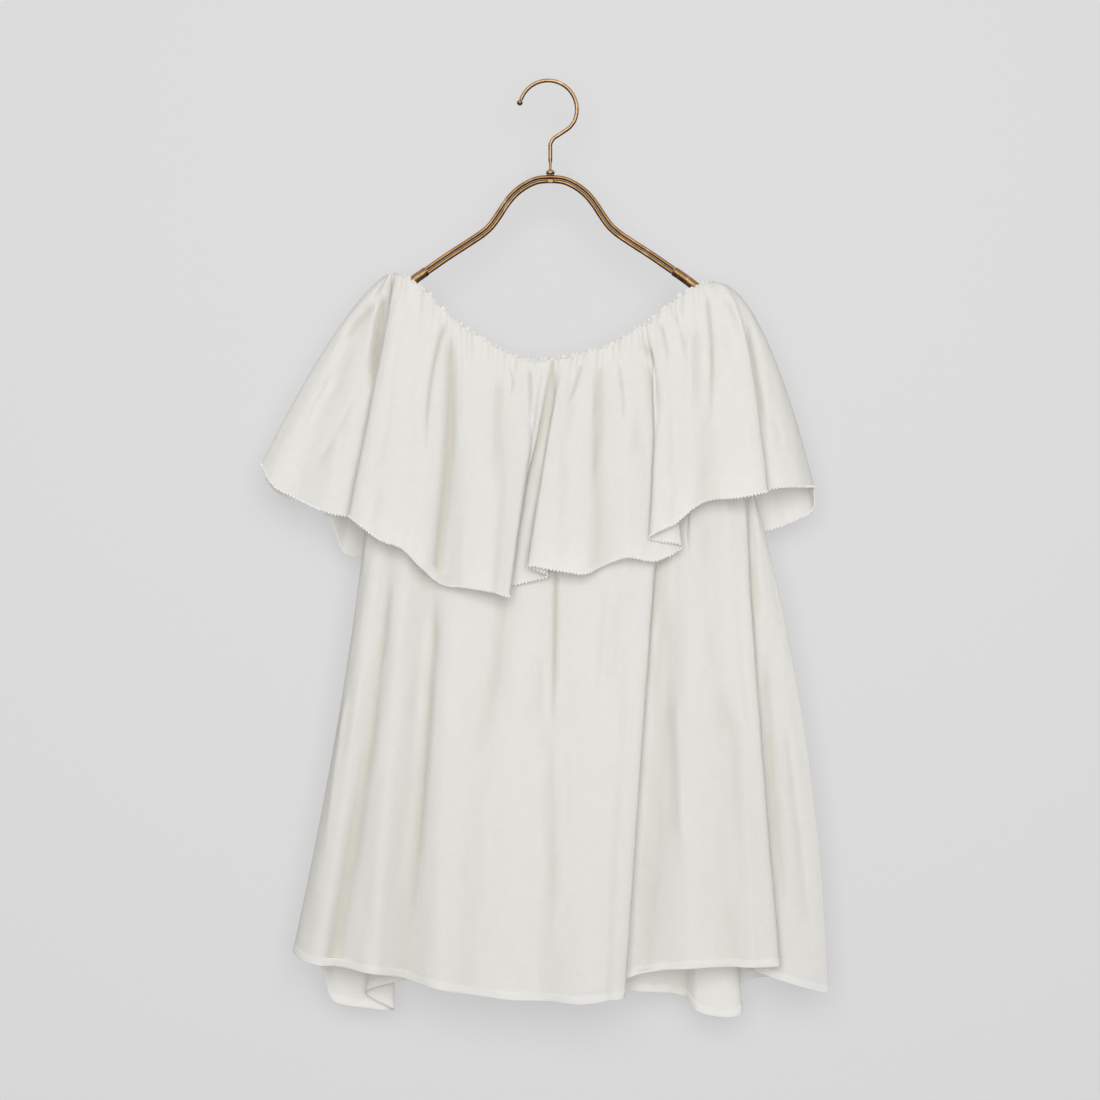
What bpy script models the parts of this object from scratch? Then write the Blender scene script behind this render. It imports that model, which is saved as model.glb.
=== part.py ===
"""Ivory off-shoulder top with a deep flounce, hung on an antique brass double-rod hanger.

All sizes below are millimetres and become metres when a mesh is made. X runs to the
right, Y away from the viewer and Z up. The origin is the inside top of the hook, where
a rail or peg carries the hanger.
"""

import math
from typing import NamedTuple

import bpy
import numpy as np

MM = 0.001

# Cloth walls and seams
CLOTH = 1.2
HEM_CLOTH = 1.9
HEM_DEPTH = 8.0
HEM_STEP = 0.06
FOLD_RADIUS = 2.2
SEAM_GAP = 0.3

# Elastic casing round the neck
CASING_HEIGHT = 13.0
CASING_THICK = 4.0
CASING_TOP_THICK = 2.0
CASING_SHOULDER = 9.5
CASING_RIPPLE = 0.8
CASING_CREST = 0.9
CASING_GATHERS_FRONT = 40
CASING_GATHERS_BACK = 32
COLUMNS_PER_GATHER = 3
CASING_UNEVEN = 0.25
CASING_UNEVEN_TURN = 0.37

# Plan of the neck ring, seen from above
NECK_LEFT = -154.4
NECK_RIGHT = 165.9
NECK_FRONT_DEPTH = 22.0
NECK_BACK_DEPTH = 20.0
NECK_PLAN_POWER = 2.8

# Where the flounce and the body hang from the casing
LAYER_OFFSET = 1.4
SHOULDER_OFFSET = 3.4
SHOULDER_RISE = 4.0
SHOULDER_REACH = 11.0

# Gathers that run down from the casing
GATHER_DEPTH = 1.3
GATHER_SHARE_OF_PITCH = 0.28
GATHER_FADE = 0.4
GATHER_FADE_POWER = 1.5
GATHER_UNEVEN = 0.3
GATHER_UNEVEN_TURN = 0.53

# Armholes of the body, under the flounce
ARMHOLE_LEFT = -98.0
ARMHOLE_RIGHT = 108.0
UNDERARM_LEFT = (-178.0, -378.0)
UNDERARM_RIGHT = (200.5, -392.0)
ARMHOLE_CURVE = 0.85

# Hanger: one hook, a pair of rods and two end sleeves
STEM_X = 2.3
WIRE_RADIUS = 2.0
HOOK_RADIUS = 28.8
HOOK_ARC = (160.0, -26.0)
HOOK_ARC_POINTS = 19
HOOK_BEND_POINTS = 10
HOOK_BEND_START = 0.4
HOOK_BALL_RADIUS = 3.0
HOOK_BALL_RINGS = 8
STEM_TAPER = 0.62
STEM_TAPER_LEVELS = (-78.0, -81.0)
ROD_RADIUS = 2.0
ROD_GAP = 0.3
ROD_POINTS = 33
ARCH_TOP = -92.5
NUT_RADIUS = 4.4
NUT_HEIGHT = 5.4
TURNED_SIDES = 12
RIVET_SIZE = (7.4, 1.8, 4.0)
RIVET_SHOULDER = 0.6
RIVET_FACE = 0.72
SLEEVE_RADIUS = 4.8
SLEEVE_START = 122.8
SLEEVE_STRAIGHT = 14.0
SLEEVE_BEND = ((147.0, 3.6), (152.5, 0.0))
SLEEVE_END = 160.7
SLEEVE_LEVEL = -209.0
SLEEVE_POINTS = 11
SLEEVE_LIP = 0.9

# Shading angle above which an edge stays crisp
CRISP_ANGLE = 50.0


class NeckRow(NamedTuple):
    """Top edge of the casing: its height at one place, in front and behind."""

    x: float
    front_z: float
    back_z: float


class WireRow(NamedTuple):
    """One point that a bar's middle line passes."""

    x: float
    z: float


class TurnedRow(NamedTuple):
    """One ring of a turned solid: its share of the full radius, and its height."""

    width: float
    height: float


class FoldRow(NamedTuple):
    """One fold of a hanging panel, from where it leaves the panel's top to its lower edge.

    Flare and deepen are the powers by which it moves sideways and forwards as it falls, and
    bow is how far it swings to the right of that line half way down.
    """

    name: str
    top_x: float
    edge_x: float
    edge_y: float
    edge_z: float
    flare: float
    deepen: float
    bow: float = 0.0


NECKLINE = (
    NeckRow(NECK_LEFT, -190.9, -190.9),
    NeckRow(-148.0, -191.3, -191.5),
    NeckRow(-128.0, -203.0, -206.0),
    NeckRow(-100.0, -231.0, -236.0),
    NeckRow(-64.0, -257.5, -265.0),
    NeckRow(-25.0, -276.5, -284.0),
    NeckRow(20.0, -274.5, -285.0),
    NeckRow(60.0, -263.5, -272.0),
    NeckRow(100.0, -239.0, -246.0),
    NeckRow(135.0, -211.0, -214.0),
    NeckRow(159.0, -199.6, -199.8),
    NeckRow(NECK_RIGHT, -199.0, -199.0),
)

FLOUNCE_FRONT = (
    FoldRow("left seam", NECK_LEFT, -286.0, 0.0, -381.5, 0.73, 0.8),
    FoldRow("left wing ridge", -154.1, -272.0, -12.0, -403.5, 0.73, 0.8),
    FoldRow("left wing valley", -153.6, -248.0, -9.0, -416.5, 0.75, 0.8),
    FoldRow("left wing inner ridge", -152.9, -221.0, -19.0, -428.5, 0.78, 0.8),
    FoldRow("turn behind lobe", -151.6, -176.0, -17.0, -437.0, 1.05, 0.6),
    FoldRow("lobe left fold", -149.5, -197.0, -31.0, -433.0, 1.05, 0.5),
    FoldRow("lobe left panel", -137.0, -168.0, -43.0, -455.0, 1.0, 0.6),
    FoldRow("lobe soft ridge", -118.0, -142.0, -45.0, -466.0, 1.0, 0.7),
    FoldRow("crease ridge", -104.0, -124.0, -44.5, -484.0, 0.9, 0.7),
    FoldRow("crease valley", -94.0, -107.0, -34.0, -499.0, 1.1, 0.5, 3.0),
    FoldRow("lobe right ridge", -74.0, -83.0, -45.0, -503.0, 1.0, 0.7),
    FoldRow("lobe right panel", -38.0, -54.0, -46.5, -508.0, 1.0, 0.7),
    FoldRow("lobe corner fold", -5.0, -37.0, -44.0, -511.0, 1.0, 0.5),
    FoldRow("turn behind corner", 0.0, -52.0, -36.5, -506.0, 1.4, 0.5),
    FoldRow("under layer", 4.0, -22.0, -31.0, -498.5, 1.15, 0.5),
    FoldRow("turn behind second lobe", 8.0, 0.0, -35.0, -492.0, 1.3, 0.42),
    FoldRow("second lobe fold", 15.0, -20.0, -43.5, -482.5, 0.9, 0.42),
    FoldRow("second lobe panel", 27.0, 12.0, -47.0, -487.5, 1.0, 0.7),
    FoldRow("second lobe ridge", 42.0, 38.0, -45.0, -489.5, 1.0, 0.7),
    FoldRow("step valley", 53.0, 54.0, -37.0, -482.0, 1.1, 0.6, -3.0),
    FoldRow("step ridge", 68.0, 78.0, -43.0, -474.0, 1.1, 0.7),
    FoldRow("lower layer", 84.0, 110.0, -36.5, -476.5, 1.1, 0.6),
    FoldRow("turn behind third lobe", 91.0, 132.0, -34.0, -463.0, 1.2, 0.5, 4.0),
    FoldRow("third lobe fold", 98.0, 99.0, -43.5, -455.0, 1.0, 0.5, 5.0),
    FoldRow("third lobe panel", 112.0, 124.0, -48.0, -441.0, 1.0, 0.7, 3.0),
    FoldRow("third lobe ridge", 133.0, 144.0, -46.0, -424.5, 1.0, 0.7),
    FoldRow("right crease", 150.0, 163.0, -40.0, -417.0, 1.0, 0.6),
    FoldRow("right soft ridge", 157.0, 190.0, -45.0, -415.0, 0.7, 0.6),
    FoldRow("lobe right fold", 161.5, 216.0, -39.5, -409.0, 0.38, 0.5),
    FoldRow("turn behind right lobe", 163.6, 208.0, -28.0, -409.0, 0.45, 0.6),
    FoldRow("right wing inner ridge", 164.9, 234.0, -22.0, -404.5, 0.52, 0.8),
    FoldRow("right wing ridge", 165.5, 253.0, -14.0, -404.0, 0.54, 0.8),
    FoldRow("right seam", NECK_RIGHT, 266.0, 0.0, -403.5, 0.54, 0.8),
)

FLOUNCE_BACK = (
    FoldRow("left seam", NECK_LEFT, -286.0, 0.0, -381.5, 0.73, 0.8),
    FoldRow("left wing ridge", -153.9, -276.0, 13.0, -409.5, 0.73, 0.8),
    FoldRow("left wing panel", -152.5, -243.0, 25.0, -417.0, 0.73, 0.8),
    FoldRow("left wing valley", -149.5, -218.0, 18.0, -438.0, 0.72, 0.7),
    FoldRow("left hanging fold", -144.0, -207.0, 29.0, -468.0, 0.80, 0.7),
    FoldRow("left outer ridge", -130.0, -176.0, 37.0, -472.0, 0.9, 0.7),
    FoldRow("left outer valley", -114.0, -146.0, 26.5, -486.0, 1.0, 0.7),
    FoldRow("left lobe ridge", -98.0, -114.0, 39.0, -497.0, 1.0, 0.7),
    FoldRow("left lobe panel", -76.0, -82.0, 41.0, -507.0, 1.0, 0.7),
    FoldRow("left lobe fold", -54.0, -52.0, 38.0, -513.0, 1.0, 0.6),
    FoldRow("centre valley", -40.0, -38.0, 26.0, -508.0, 1.1, 0.6),
    FoldRow("centre ridge", -14.0, 0.0, 39.0, -512.0, 1.0, 0.7),
    FoldRow("centre soft valley", 8.0, 30.0, 30.0, -509.0, 1.0, 0.7),
    FoldRow("right inner ridge", 30.0, 62.0, 40.0, -507.0, 1.0, 0.7),
    FoldRow("right valley", 50.0, 88.0, 28.0, -500.0, 1.0, 0.7),
    FoldRow("turn behind right lobe", 60.0, 114.0, 31.0, -493.0, 1.3, 0.55),
    FoldRow("right lobe fold", 67.0, 88.0, 39.0, -490.0, 1.1, 0.55),
    FoldRow("right lobe panel", 84.0, 120.0, 42.0, -485.0, 1.0, 0.7),
    FoldRow("right outer valley", 108.0, 150.0, 28.0, -474.0, 0.95, 0.7),
    FoldRow("right outer ridge", 128.0, 180.0, 38.0, -461.0, 0.9, 0.7),
    FoldRow("right wing valley", 147.0, 212.0, 26.0, -449.0, 0.75, 0.7),
    FoldRow("right wing panel", 160.0, 241.0, 25.0, -440.5, 0.62, 0.8),
    FoldRow("right wing tip", 164.8, 267.0, 12.0, -423.5, 0.56, 0.8),
    FoldRow("right seam", NECK_RIGHT, 266.0, 0.0, -403.5, 0.54, 0.8),
)

BODY_FRONT = (
    FoldRow("left seam", UNDERARM_LEFT[0], -255.0, 0.0, -869.5, 1.4, 1.0),
    FoldRow("left turn", -172.0, -245.0, -14.0, -875.0, 1.35, 1.0),
    FoldRow("left ridge", -160.0, -228.0, -22.0, -879.0, 1.25, 1.0),
    FoldRow("left soft valley", -147.0, -211.0, -14.5, -881.0, 1.15, 0.9),
    FoldRow("left panel ridge", -126.0, -176.0, -29.0, -886.0, 1.1, 0.9),
    FoldRow("left deep valley", -99.0, -141.0, -12.5, -894.0, 1.1, 0.6),
    FoldRow("middle left ridge", -82.0, -114.0, -30.5, -900.0, 1.1, 0.9),
    FoldRow("middle soft valley", -38.0, -76.0, -24.0, -907.5, 1.1, 0.8),
    FoldRow("middle ridge", -16.0, -38.0, -31.0, -911.5, 1.0, 0.9),
    FoldRow("centre valley", 8.0, 0.0, -24.5, -914.0, 1.0, 0.6),
    FoldRow("centre ridge", 32.0, 26.0, -33.0, -915.5, 1.0, 0.9),
    FoldRow("overlap panel", 82.0, 58.0, -33.0, -912.0, 1.0, 0.8),
    FoldRow("overlap fold", 113.0, 76.0, -28.0, -908.5, 1.0, 0.6),
    FoldRow("turn behind overlap", 117.0, 60.0, -20.0, -902.0, 1.2, 0.6),
    FoldRow("under overlap", 121.0, 86.0, -13.0, -891.0, 1.1, 0.6),
    FoldRow("shaded valley", 127.0, 110.0, -17.0, -885.0, 1.1, 0.8),
    FoldRow("right inner ridge", 138.0, 138.0, -28.0, -881.5, 1.1, 0.9),
    FoldRow("right soft valley", 158.0, 180.0, -21.0, -880.5, 1.1, 0.9),
    FoldRow("right panel ridge", 178.0, 204.0, -29.0, -880.0, 1.1, 0.9),
    FoldRow("right front fold", 195.0, 230.0, -24.0, -879.0, 1.25, 0.7),
    FoldRow("turn behind front fold", 197.5, 201.0, -15.0, -883.0, 1.0, 0.7, 4.0),
    FoldRow("side extension", 199.2, 243.0, -10.0, -900.0, 0.9, 0.7, 10.0),
    FoldRow("right seam", UNDERARM_RIGHT[0], 280.0, 0.0, -911.5, 1.0, 0.8, 17.0),
)

BODY_BACK = (
    FoldRow("left seam", UNDERARM_LEFT[0], -255.0, 0.0, -869.5, 1.4, 1.0),
    FoldRow("left turn", -172.0, -245.0, 11.0, -878.0, 1.35, 1.0),
    FoldRow("left curl", -162.0, -228.0, 15.0, -888.0, 1.25, 1.0),
    FoldRow("left hanging fold", -152.0, -218.0, 24.0, -922.0, 1.15, 0.9),
    FoldRow("left hanging panel", -140.0, -186.0, 29.0, -931.0, 1.1, 0.7),
    FoldRow("left hanging edge", -130.0, -156.0, 26.0, -932.0, 1.0, 0.6),
    FoldRow("turn behind hanging edge", -124.0, -184.0, 18.5, -914.0, 1.3, 0.6),
    FoldRow("left valley", -112.0, -142.0, 12.0, -899.0, 1.1, 0.6),
    FoldRow("left ridge", -88.0, -104.0, 27.0, -893.0, 1.0, 0.9),
    FoldRow("left soft valley", -56.0, -64.0, 15.0, -899.0, 1.0, 0.8),
    FoldRow("centre ridge", -22.0, -24.0, 28.0, -905.0, 1.0, 0.9),
    FoldRow("centre valley", 10.0, 14.0, 15.0, -908.0, 1.0, 0.8),
    FoldRow("right inner ridge", 44.0, 54.0, 27.0, -908.5, 1.0, 0.9),
    FoldRow("right valley", 74.0, 88.0, 17.0, -912.0, 1.0, 0.8),
    FoldRow("right fold", 106.0, 138.0, 28.0, -919.5, 1.0, 0.8),
    FoldRow("right hanging panel", 122.0, 150.0, 16.0, -932.0, 1.0, 0.7),
    FoldRow("right hanging edge", 148.0, 196.0, 18.5, -932.5, 1.0, 0.6),
    FoldRow("turn behind right edge", 161.0, 188.0, 27.0, -914.0, 1.1, 0.7),
    FoldRow("side ridge", 180.0, 218.0, 31.0, -900.0, 1.0, 0.6, 8.0),
    FoldRow("side panel", 193.0, 258.0, 21.0, -906.0, 1.0, 0.8, 14.0),
    FoldRow("right seam", UNDERARM_RIGHT[0], 280.0, 0.0, -911.5, 1.0, 0.8, 17.0),
)

# The hook's lower bend, between its arc and its stem
HOOK_BEND = (
    WireRow(21.2, -45.2),
    WireRow(12.0, -51.6),
    WireRow(5.6, -56.0),
    WireRow(2.5, -61.5),
    WireRow(STEM_X, -68.0),
)

# Right half of the rod pair: distance from the stem, and height above the arch's middle line
ARM = (
    WireRow(0.0, 0.0),
    WireRow(14.0, -1.4),
    WireRow(26.0, -7.0),
    WireRow(36.0, -14.8),
    WireRow(44.0, -24.3),
    WireRow(52.0, -36.4),
    WireRow(60.0, -47.2),
    WireRow(68.0, -54.4),
    WireRow(78.0, -61.2),
    WireRow(102.0, -76.8),
    WireRow(SLEEVE_START, -91.2),
)

NUT = (
    TurnedRow(0.8, 0.0),
    TurnedRow(1.0, 0.9),
    TurnedRow(1.0, 2.6),
    TurnedRow(0.82, 4.2),
    TurnedRow(0.43, NUT_HEIGHT),
)

# One corner of the rivet plate, as shares of its width and height
RIVET_CORNER = ((0.5, 0.32), (0.34, 0.5))

# Rounded ends of the sleeves: distance back from the tip, and share of the full radius
SLEEVE_TIP = ((2.6, 1.0), (0.8, 0.8), (0.0, 0.5))

# Shares of the drop at which each panel has a row of points, and its columns
FLOUNCE_FRONT_LEVELS = (0.0, 0.06, 0.14, 0.26, 0.42, 0.6, 0.8, 1.0)
FLOUNCE_BACK_LEVELS = (0.0, 0.07, 0.17, 0.33, 0.54, 0.77, 1.0)
BODY_LEVELS = (0.0, 0.09, 0.22, 0.41, 0.62, 0.84)
FLOUNCE_FRONT_COLUMNS = 138
FLOUNCE_BACK_COLUMNS = 96
BODY_FRONT_COLUMNS = 78
BODY_BACK_COLUMNS = 72

# How columns are shared out across a panel: along its top, along its edge, and round its folds
COLUMNS_BY_TOP = 0.3
COLUMNS_BY_EDGE = 0.4
COLUMNS_BY_TURN = 0.3

FRONT = -1
BACK = 1

# Colours as linear RGB, with roughness and metallic
CLOTH_FINISH = ((0.742, 0.728, 0.693), 0.9, 0.0)
BRASS_FINISH = ((0.36, 0.22, 0.085), 0.34, 1.0)


def clear_scene():
    """Removes whatever the new file holds."""
    for obj in list(bpy.data.objects):
        bpy.data.objects.remove(obj, do_unlink=True)


def material(name, finish):
    """One Principled material from (colour, roughness, metallic)."""
    colour, roughness, metallic = finish
    made = bpy.data.materials.new(name)
    made.use_nodes = True
    shader = made.node_tree.nodes["Principled BSDF"]
    shader.inputs["Base Color"].default_value = (*colour, 1.0)
    shader.inputs["Roughness"].default_value = roughness
    shader.inputs["Metallic"].default_value = metallic
    return made


def add_mesh(name, points, faces, finish):
    """A mesh object from points in millimetres."""
    mesh = bpy.data.meshes.new(name)
    mesh.from_pydata((np.asarray(points) * MM).tolist(), [], faces)
    mesh.update()
    mesh.shade_smooth()
    mesh.set_sharp_from_angle(angle=math.radians(CRISP_ANGLE))
    obj = bpy.data.objects.new(name, mesh)
    obj.data.materials.append(material(name, finish))
    bpy.context.scene.collection.objects.link(obj)
    return obj


def unit(vectors):
    """The vectors at length one, along the last axis."""
    return vectors / np.linalg.norm(vectors, axis=-1, keepdims=True)


def slopes_smooth(knots, values):
    """A tangent at each knot that lets neighbouring spans share one curve."""
    steps = np.diff(knots)
    slopes = np.diff(values, axis=0) / steps.reshape(-1, *[1] * (values.ndim - 1))
    tangents = np.empty_like(values)
    tangents[0], tangents[-1] = slopes[0], slopes[-1]
    before = steps[:-1].reshape(-1, *[1] * (values.ndim - 1))
    after = steps[1:].reshape(-1, *[1] * (values.ndim - 1))
    tangents[1:-1] = (slopes[:-1] * after + slopes[1:] * before) / (before + after)
    return tangents


def slopes_monotone(knots, values):
    """Tangents that never let the curve pass beyond its knots' own values."""
    slopes = np.diff(values) / np.diff(knots)
    tangents = np.zeros_like(values)
    product = slopes[:-1] * slopes[1:]
    total = slopes[:-1] + slopes[1:]
    same_way = product > 0
    np.divide(2 * product, total, out=tangents[1:-1], where=same_way)
    tangents[0], tangents[-1] = slopes[0], slopes[-1]
    return tangents


def cubic(knots, values, where, tangents):
    """The Hermite curve through the knots, read at each place in where."""
    span = np.clip(np.searchsorted(knots, where, side="right") - 1, 0, len(knots) - 2)
    width = knots[span + 1] - knots[span]
    share = (where - knots[span]) / width
    shape = (-1, *[1] * (values.ndim - 1))
    share, width = share.reshape(shape), width.reshape(shape)
    start = (1 + 2 * share) * (1 - share) ** 2 * values[span]
    end = share**2 * (3 - 2 * share) * values[span + 1]
    leave = share * (1 - share) ** 2 * width * tangents[span]
    arrive = share**2 * (share - 1) * width * tangents[span + 1]
    return start + end + leave + arrive


def smooth_curve(knots, values, where):
    """A soft curve through the knots."""
    knots, values = np.asarray(knots, float), np.asarray(values, float)
    return cubic(knots, values, np.asarray(where, float), slopes_smooth(knots, values))


def monotone_curve(knots, values, where):
    """A curve through the knots with no overshoot."""
    knots, values = np.asarray(knots, float), np.asarray(values, float)
    return cubic(knots, values, np.asarray(where, float), slopes_monotone(knots, values))


class NeckRing:
    """Half of the gathered neck, front or back, from the left shoulder to the right one."""

    SAMPLES = 721

    def __init__(self, side):
        self.side = side
        depth = NECK_FRONT_DEPTH if side == FRONT else NECK_BACK_DEPTH
        middle = (NECK_LEFT + NECK_RIGHT) / 2
        reach = (NECK_RIGHT - NECK_LEFT) / 2
        turn = np.linspace(0.0, math.pi, self.SAMPLES)
        power = 2.0 / NECK_PLAN_POWER
        x = middle - reach * np.sign(np.cos(turn)) * np.abs(np.cos(turn)) ** power
        y = side * (SEAM_GAP / 2 + depth * np.abs(np.sin(turn)) ** power)
        heights = [row.front_z if side == FRONT else row.back_z for row in NECKLINE]
        z = smooth_curve([row.x for row in NECKLINE], heights, x)
        edge = np.stack([x, y, z], axis=1)
        along = unit(np.gradient(edge, axis=0))
        along[0] = along[-1] = (0.0, 0.0, 0.0)
        along[0, 1], along[-1, 1] = side, -side
        upright = np.array([0.0, 0.0, 1.0])
        self.up = unit(upright - (along @ upright)[:, None] * along)
        self.out = -side * unit(np.cross(along, upright))
        self.middle = edge - self.up * CASING_HEIGHT / 2
        lengths = np.linalg.norm(np.diff(self.middle, axis=0), axis=1)
        self.run = np.concatenate([[0.0], np.cumsum(lengths)])
        self.edge_x = x
        self.length = self.run[-1]

    def at(self, run):
        """Casing centre, outward and upward directions at a distance along the ring."""
        parts = []
        for table in (self.middle, self.out, self.up):
            parts.append(np.stack([np.interp(run, self.run, table[:, k]) for k in range(3)], axis=-1))
        return parts[0], unit(parts[1]), unit(parts[2])

    def run_at_x(self, x):
        """Distance along the ring at which its top edge passes x."""
        return np.interp(x, self.edge_x, self.run)


def shoulder_weight(ring_y):
    """1 where the ring turns over a hanger end, 0 along the front and the back."""
    return np.clip(1.0 - (np.abs(ring_y) / SHOULDER_REACH) ** 2, 0.0, 1.0)


def casing_section(ripple, crest):
    """Outline of the casing as (outward, upward) pairs, pushed out by ripple and up by crest."""
    half, top = CASING_THICK / 2, CASING_TOP_THICK / 2
    rise, shoulder = CASING_HEIGHT / 2, CASING_SHOULDER - CASING_HEIGHT / 2
    return (
        (top + ripple, rise + crest),
        (half + ripple, shoulder),
        (half + ripple, -rise),
        (-half + ripple, -rise),
        (-half + ripple, shoulder),
        (-top + ripple, rise + crest),
    )


def build_casing(name, side, gathers):
    """The gathered elastic casing as one closed band with a ripple for each gather."""
    ring = NeckRing(side)
    columns = gathers * COLUMNS_PER_GATHER
    run = np.linspace(0.0, ring.length, columns + 1)
    middle, out, up = ring.at(run)
    still = 1.0 - np.clip(2.0 * shoulder_weight(middle[:, 1]), 0.0, 1.0)
    wave = np.cos(2 * math.pi * np.arange(columns + 1) / COLUMNS_PER_GATHER)
    uneven = 1.0 - CASING_UNEVEN + CASING_UNEVEN * np.sin(np.arange(columns + 1) * CASING_UNEVEN_TURN)
    points = []
    for k in range(columns + 1):
        ripple = CASING_RIPPLE * wave[k] * uneven[k] * still[k]
        crest = CASING_CREST * wave[k] * uneven[k] * still[k]
        for outward, upward in casing_section(ripple, crest):
            points.append(middle[k] + out[k] * outward + up[k] * upward)
    size = len(casing_section(0.0, 0.0))
    faces = []
    for k in range(columns):
        for j in range(size):
            following = (j + 1) % size
            ends = [k * size + j, k * size + following, (k + 1) * size + following, (k + 1) * size + j]
            faces.append(ends if side == FRONT else ends[::-1])
    first = list(range(size))
    last = [columns * size + j for j in range(size)]
    faces.append(first[::-1] if side == FRONT else first)
    faces.append(last if side == FRONT else last[::-1])
    return add_mesh(name, points, faces, CLOTH_FINISH)


def flounce_top(ring, top_x):
    """Where the flounce hangs: under the casing, and outside it over the hanger ends."""
    middle, out, up = ring.at(ring.run_at_x(top_x))
    weight = shoulder_weight(middle[:, 1])
    outward = LAYER_OFFSET + SHOULDER_OFFSET * np.clip(2.0 * weight, 0.0, 1.0)
    drop = CASING_HEIGHT / 2 + SEAM_GAP - SHOULDER_RISE * np.clip(2.0 * weight - 1.0, 0.0, 1.0)
    return middle + out * outward[:, None] - up * drop[:, None], out


def body_top(ring, top_x):
    """Upper edge of a body panel: under the casing, then down each armhole to the side."""
    inner = np.clip(top_x, ARMHOLE_LEFT, ARMHOLE_RIGHT)
    middle, out, up = ring.at(ring.run_at_x(inner))
    points = middle - out * LAYER_OFFSET - up * (CASING_HEIGHT / 2 + SEAM_GAP)
    for start, (end_x, end_z) in ((ARMHOLE_LEFT, UNDERARM_LEFT), (ARMHOLE_RIGHT, UNDERARM_RIGHT)):
        share = np.clip((top_x - start) / (end_x - start), 0.0, 1.0)
        scoop = share > 0
        from_x, from_y, from_z = points[scoop].T
        down = share[scoop]
        rounded = np.sqrt(np.clip(1.0 - down**2, 0.0, 1.0))
        seam_y = ring.side * SEAM_GAP / 2
        points[scoop, 0] = from_x + (end_x - from_x) * down
        points[scoop, 1] = seam_y + (from_y - seam_y) * rounded
        points[scoop, 2] = from_z + (end_z - from_z) * down**ARMHOLE_CURVE
    gathered = (top_x >= ARMHOLE_LEFT) & (top_x <= ARMHOLE_RIGHT)
    return points, out * gathered[:, None]


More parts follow.
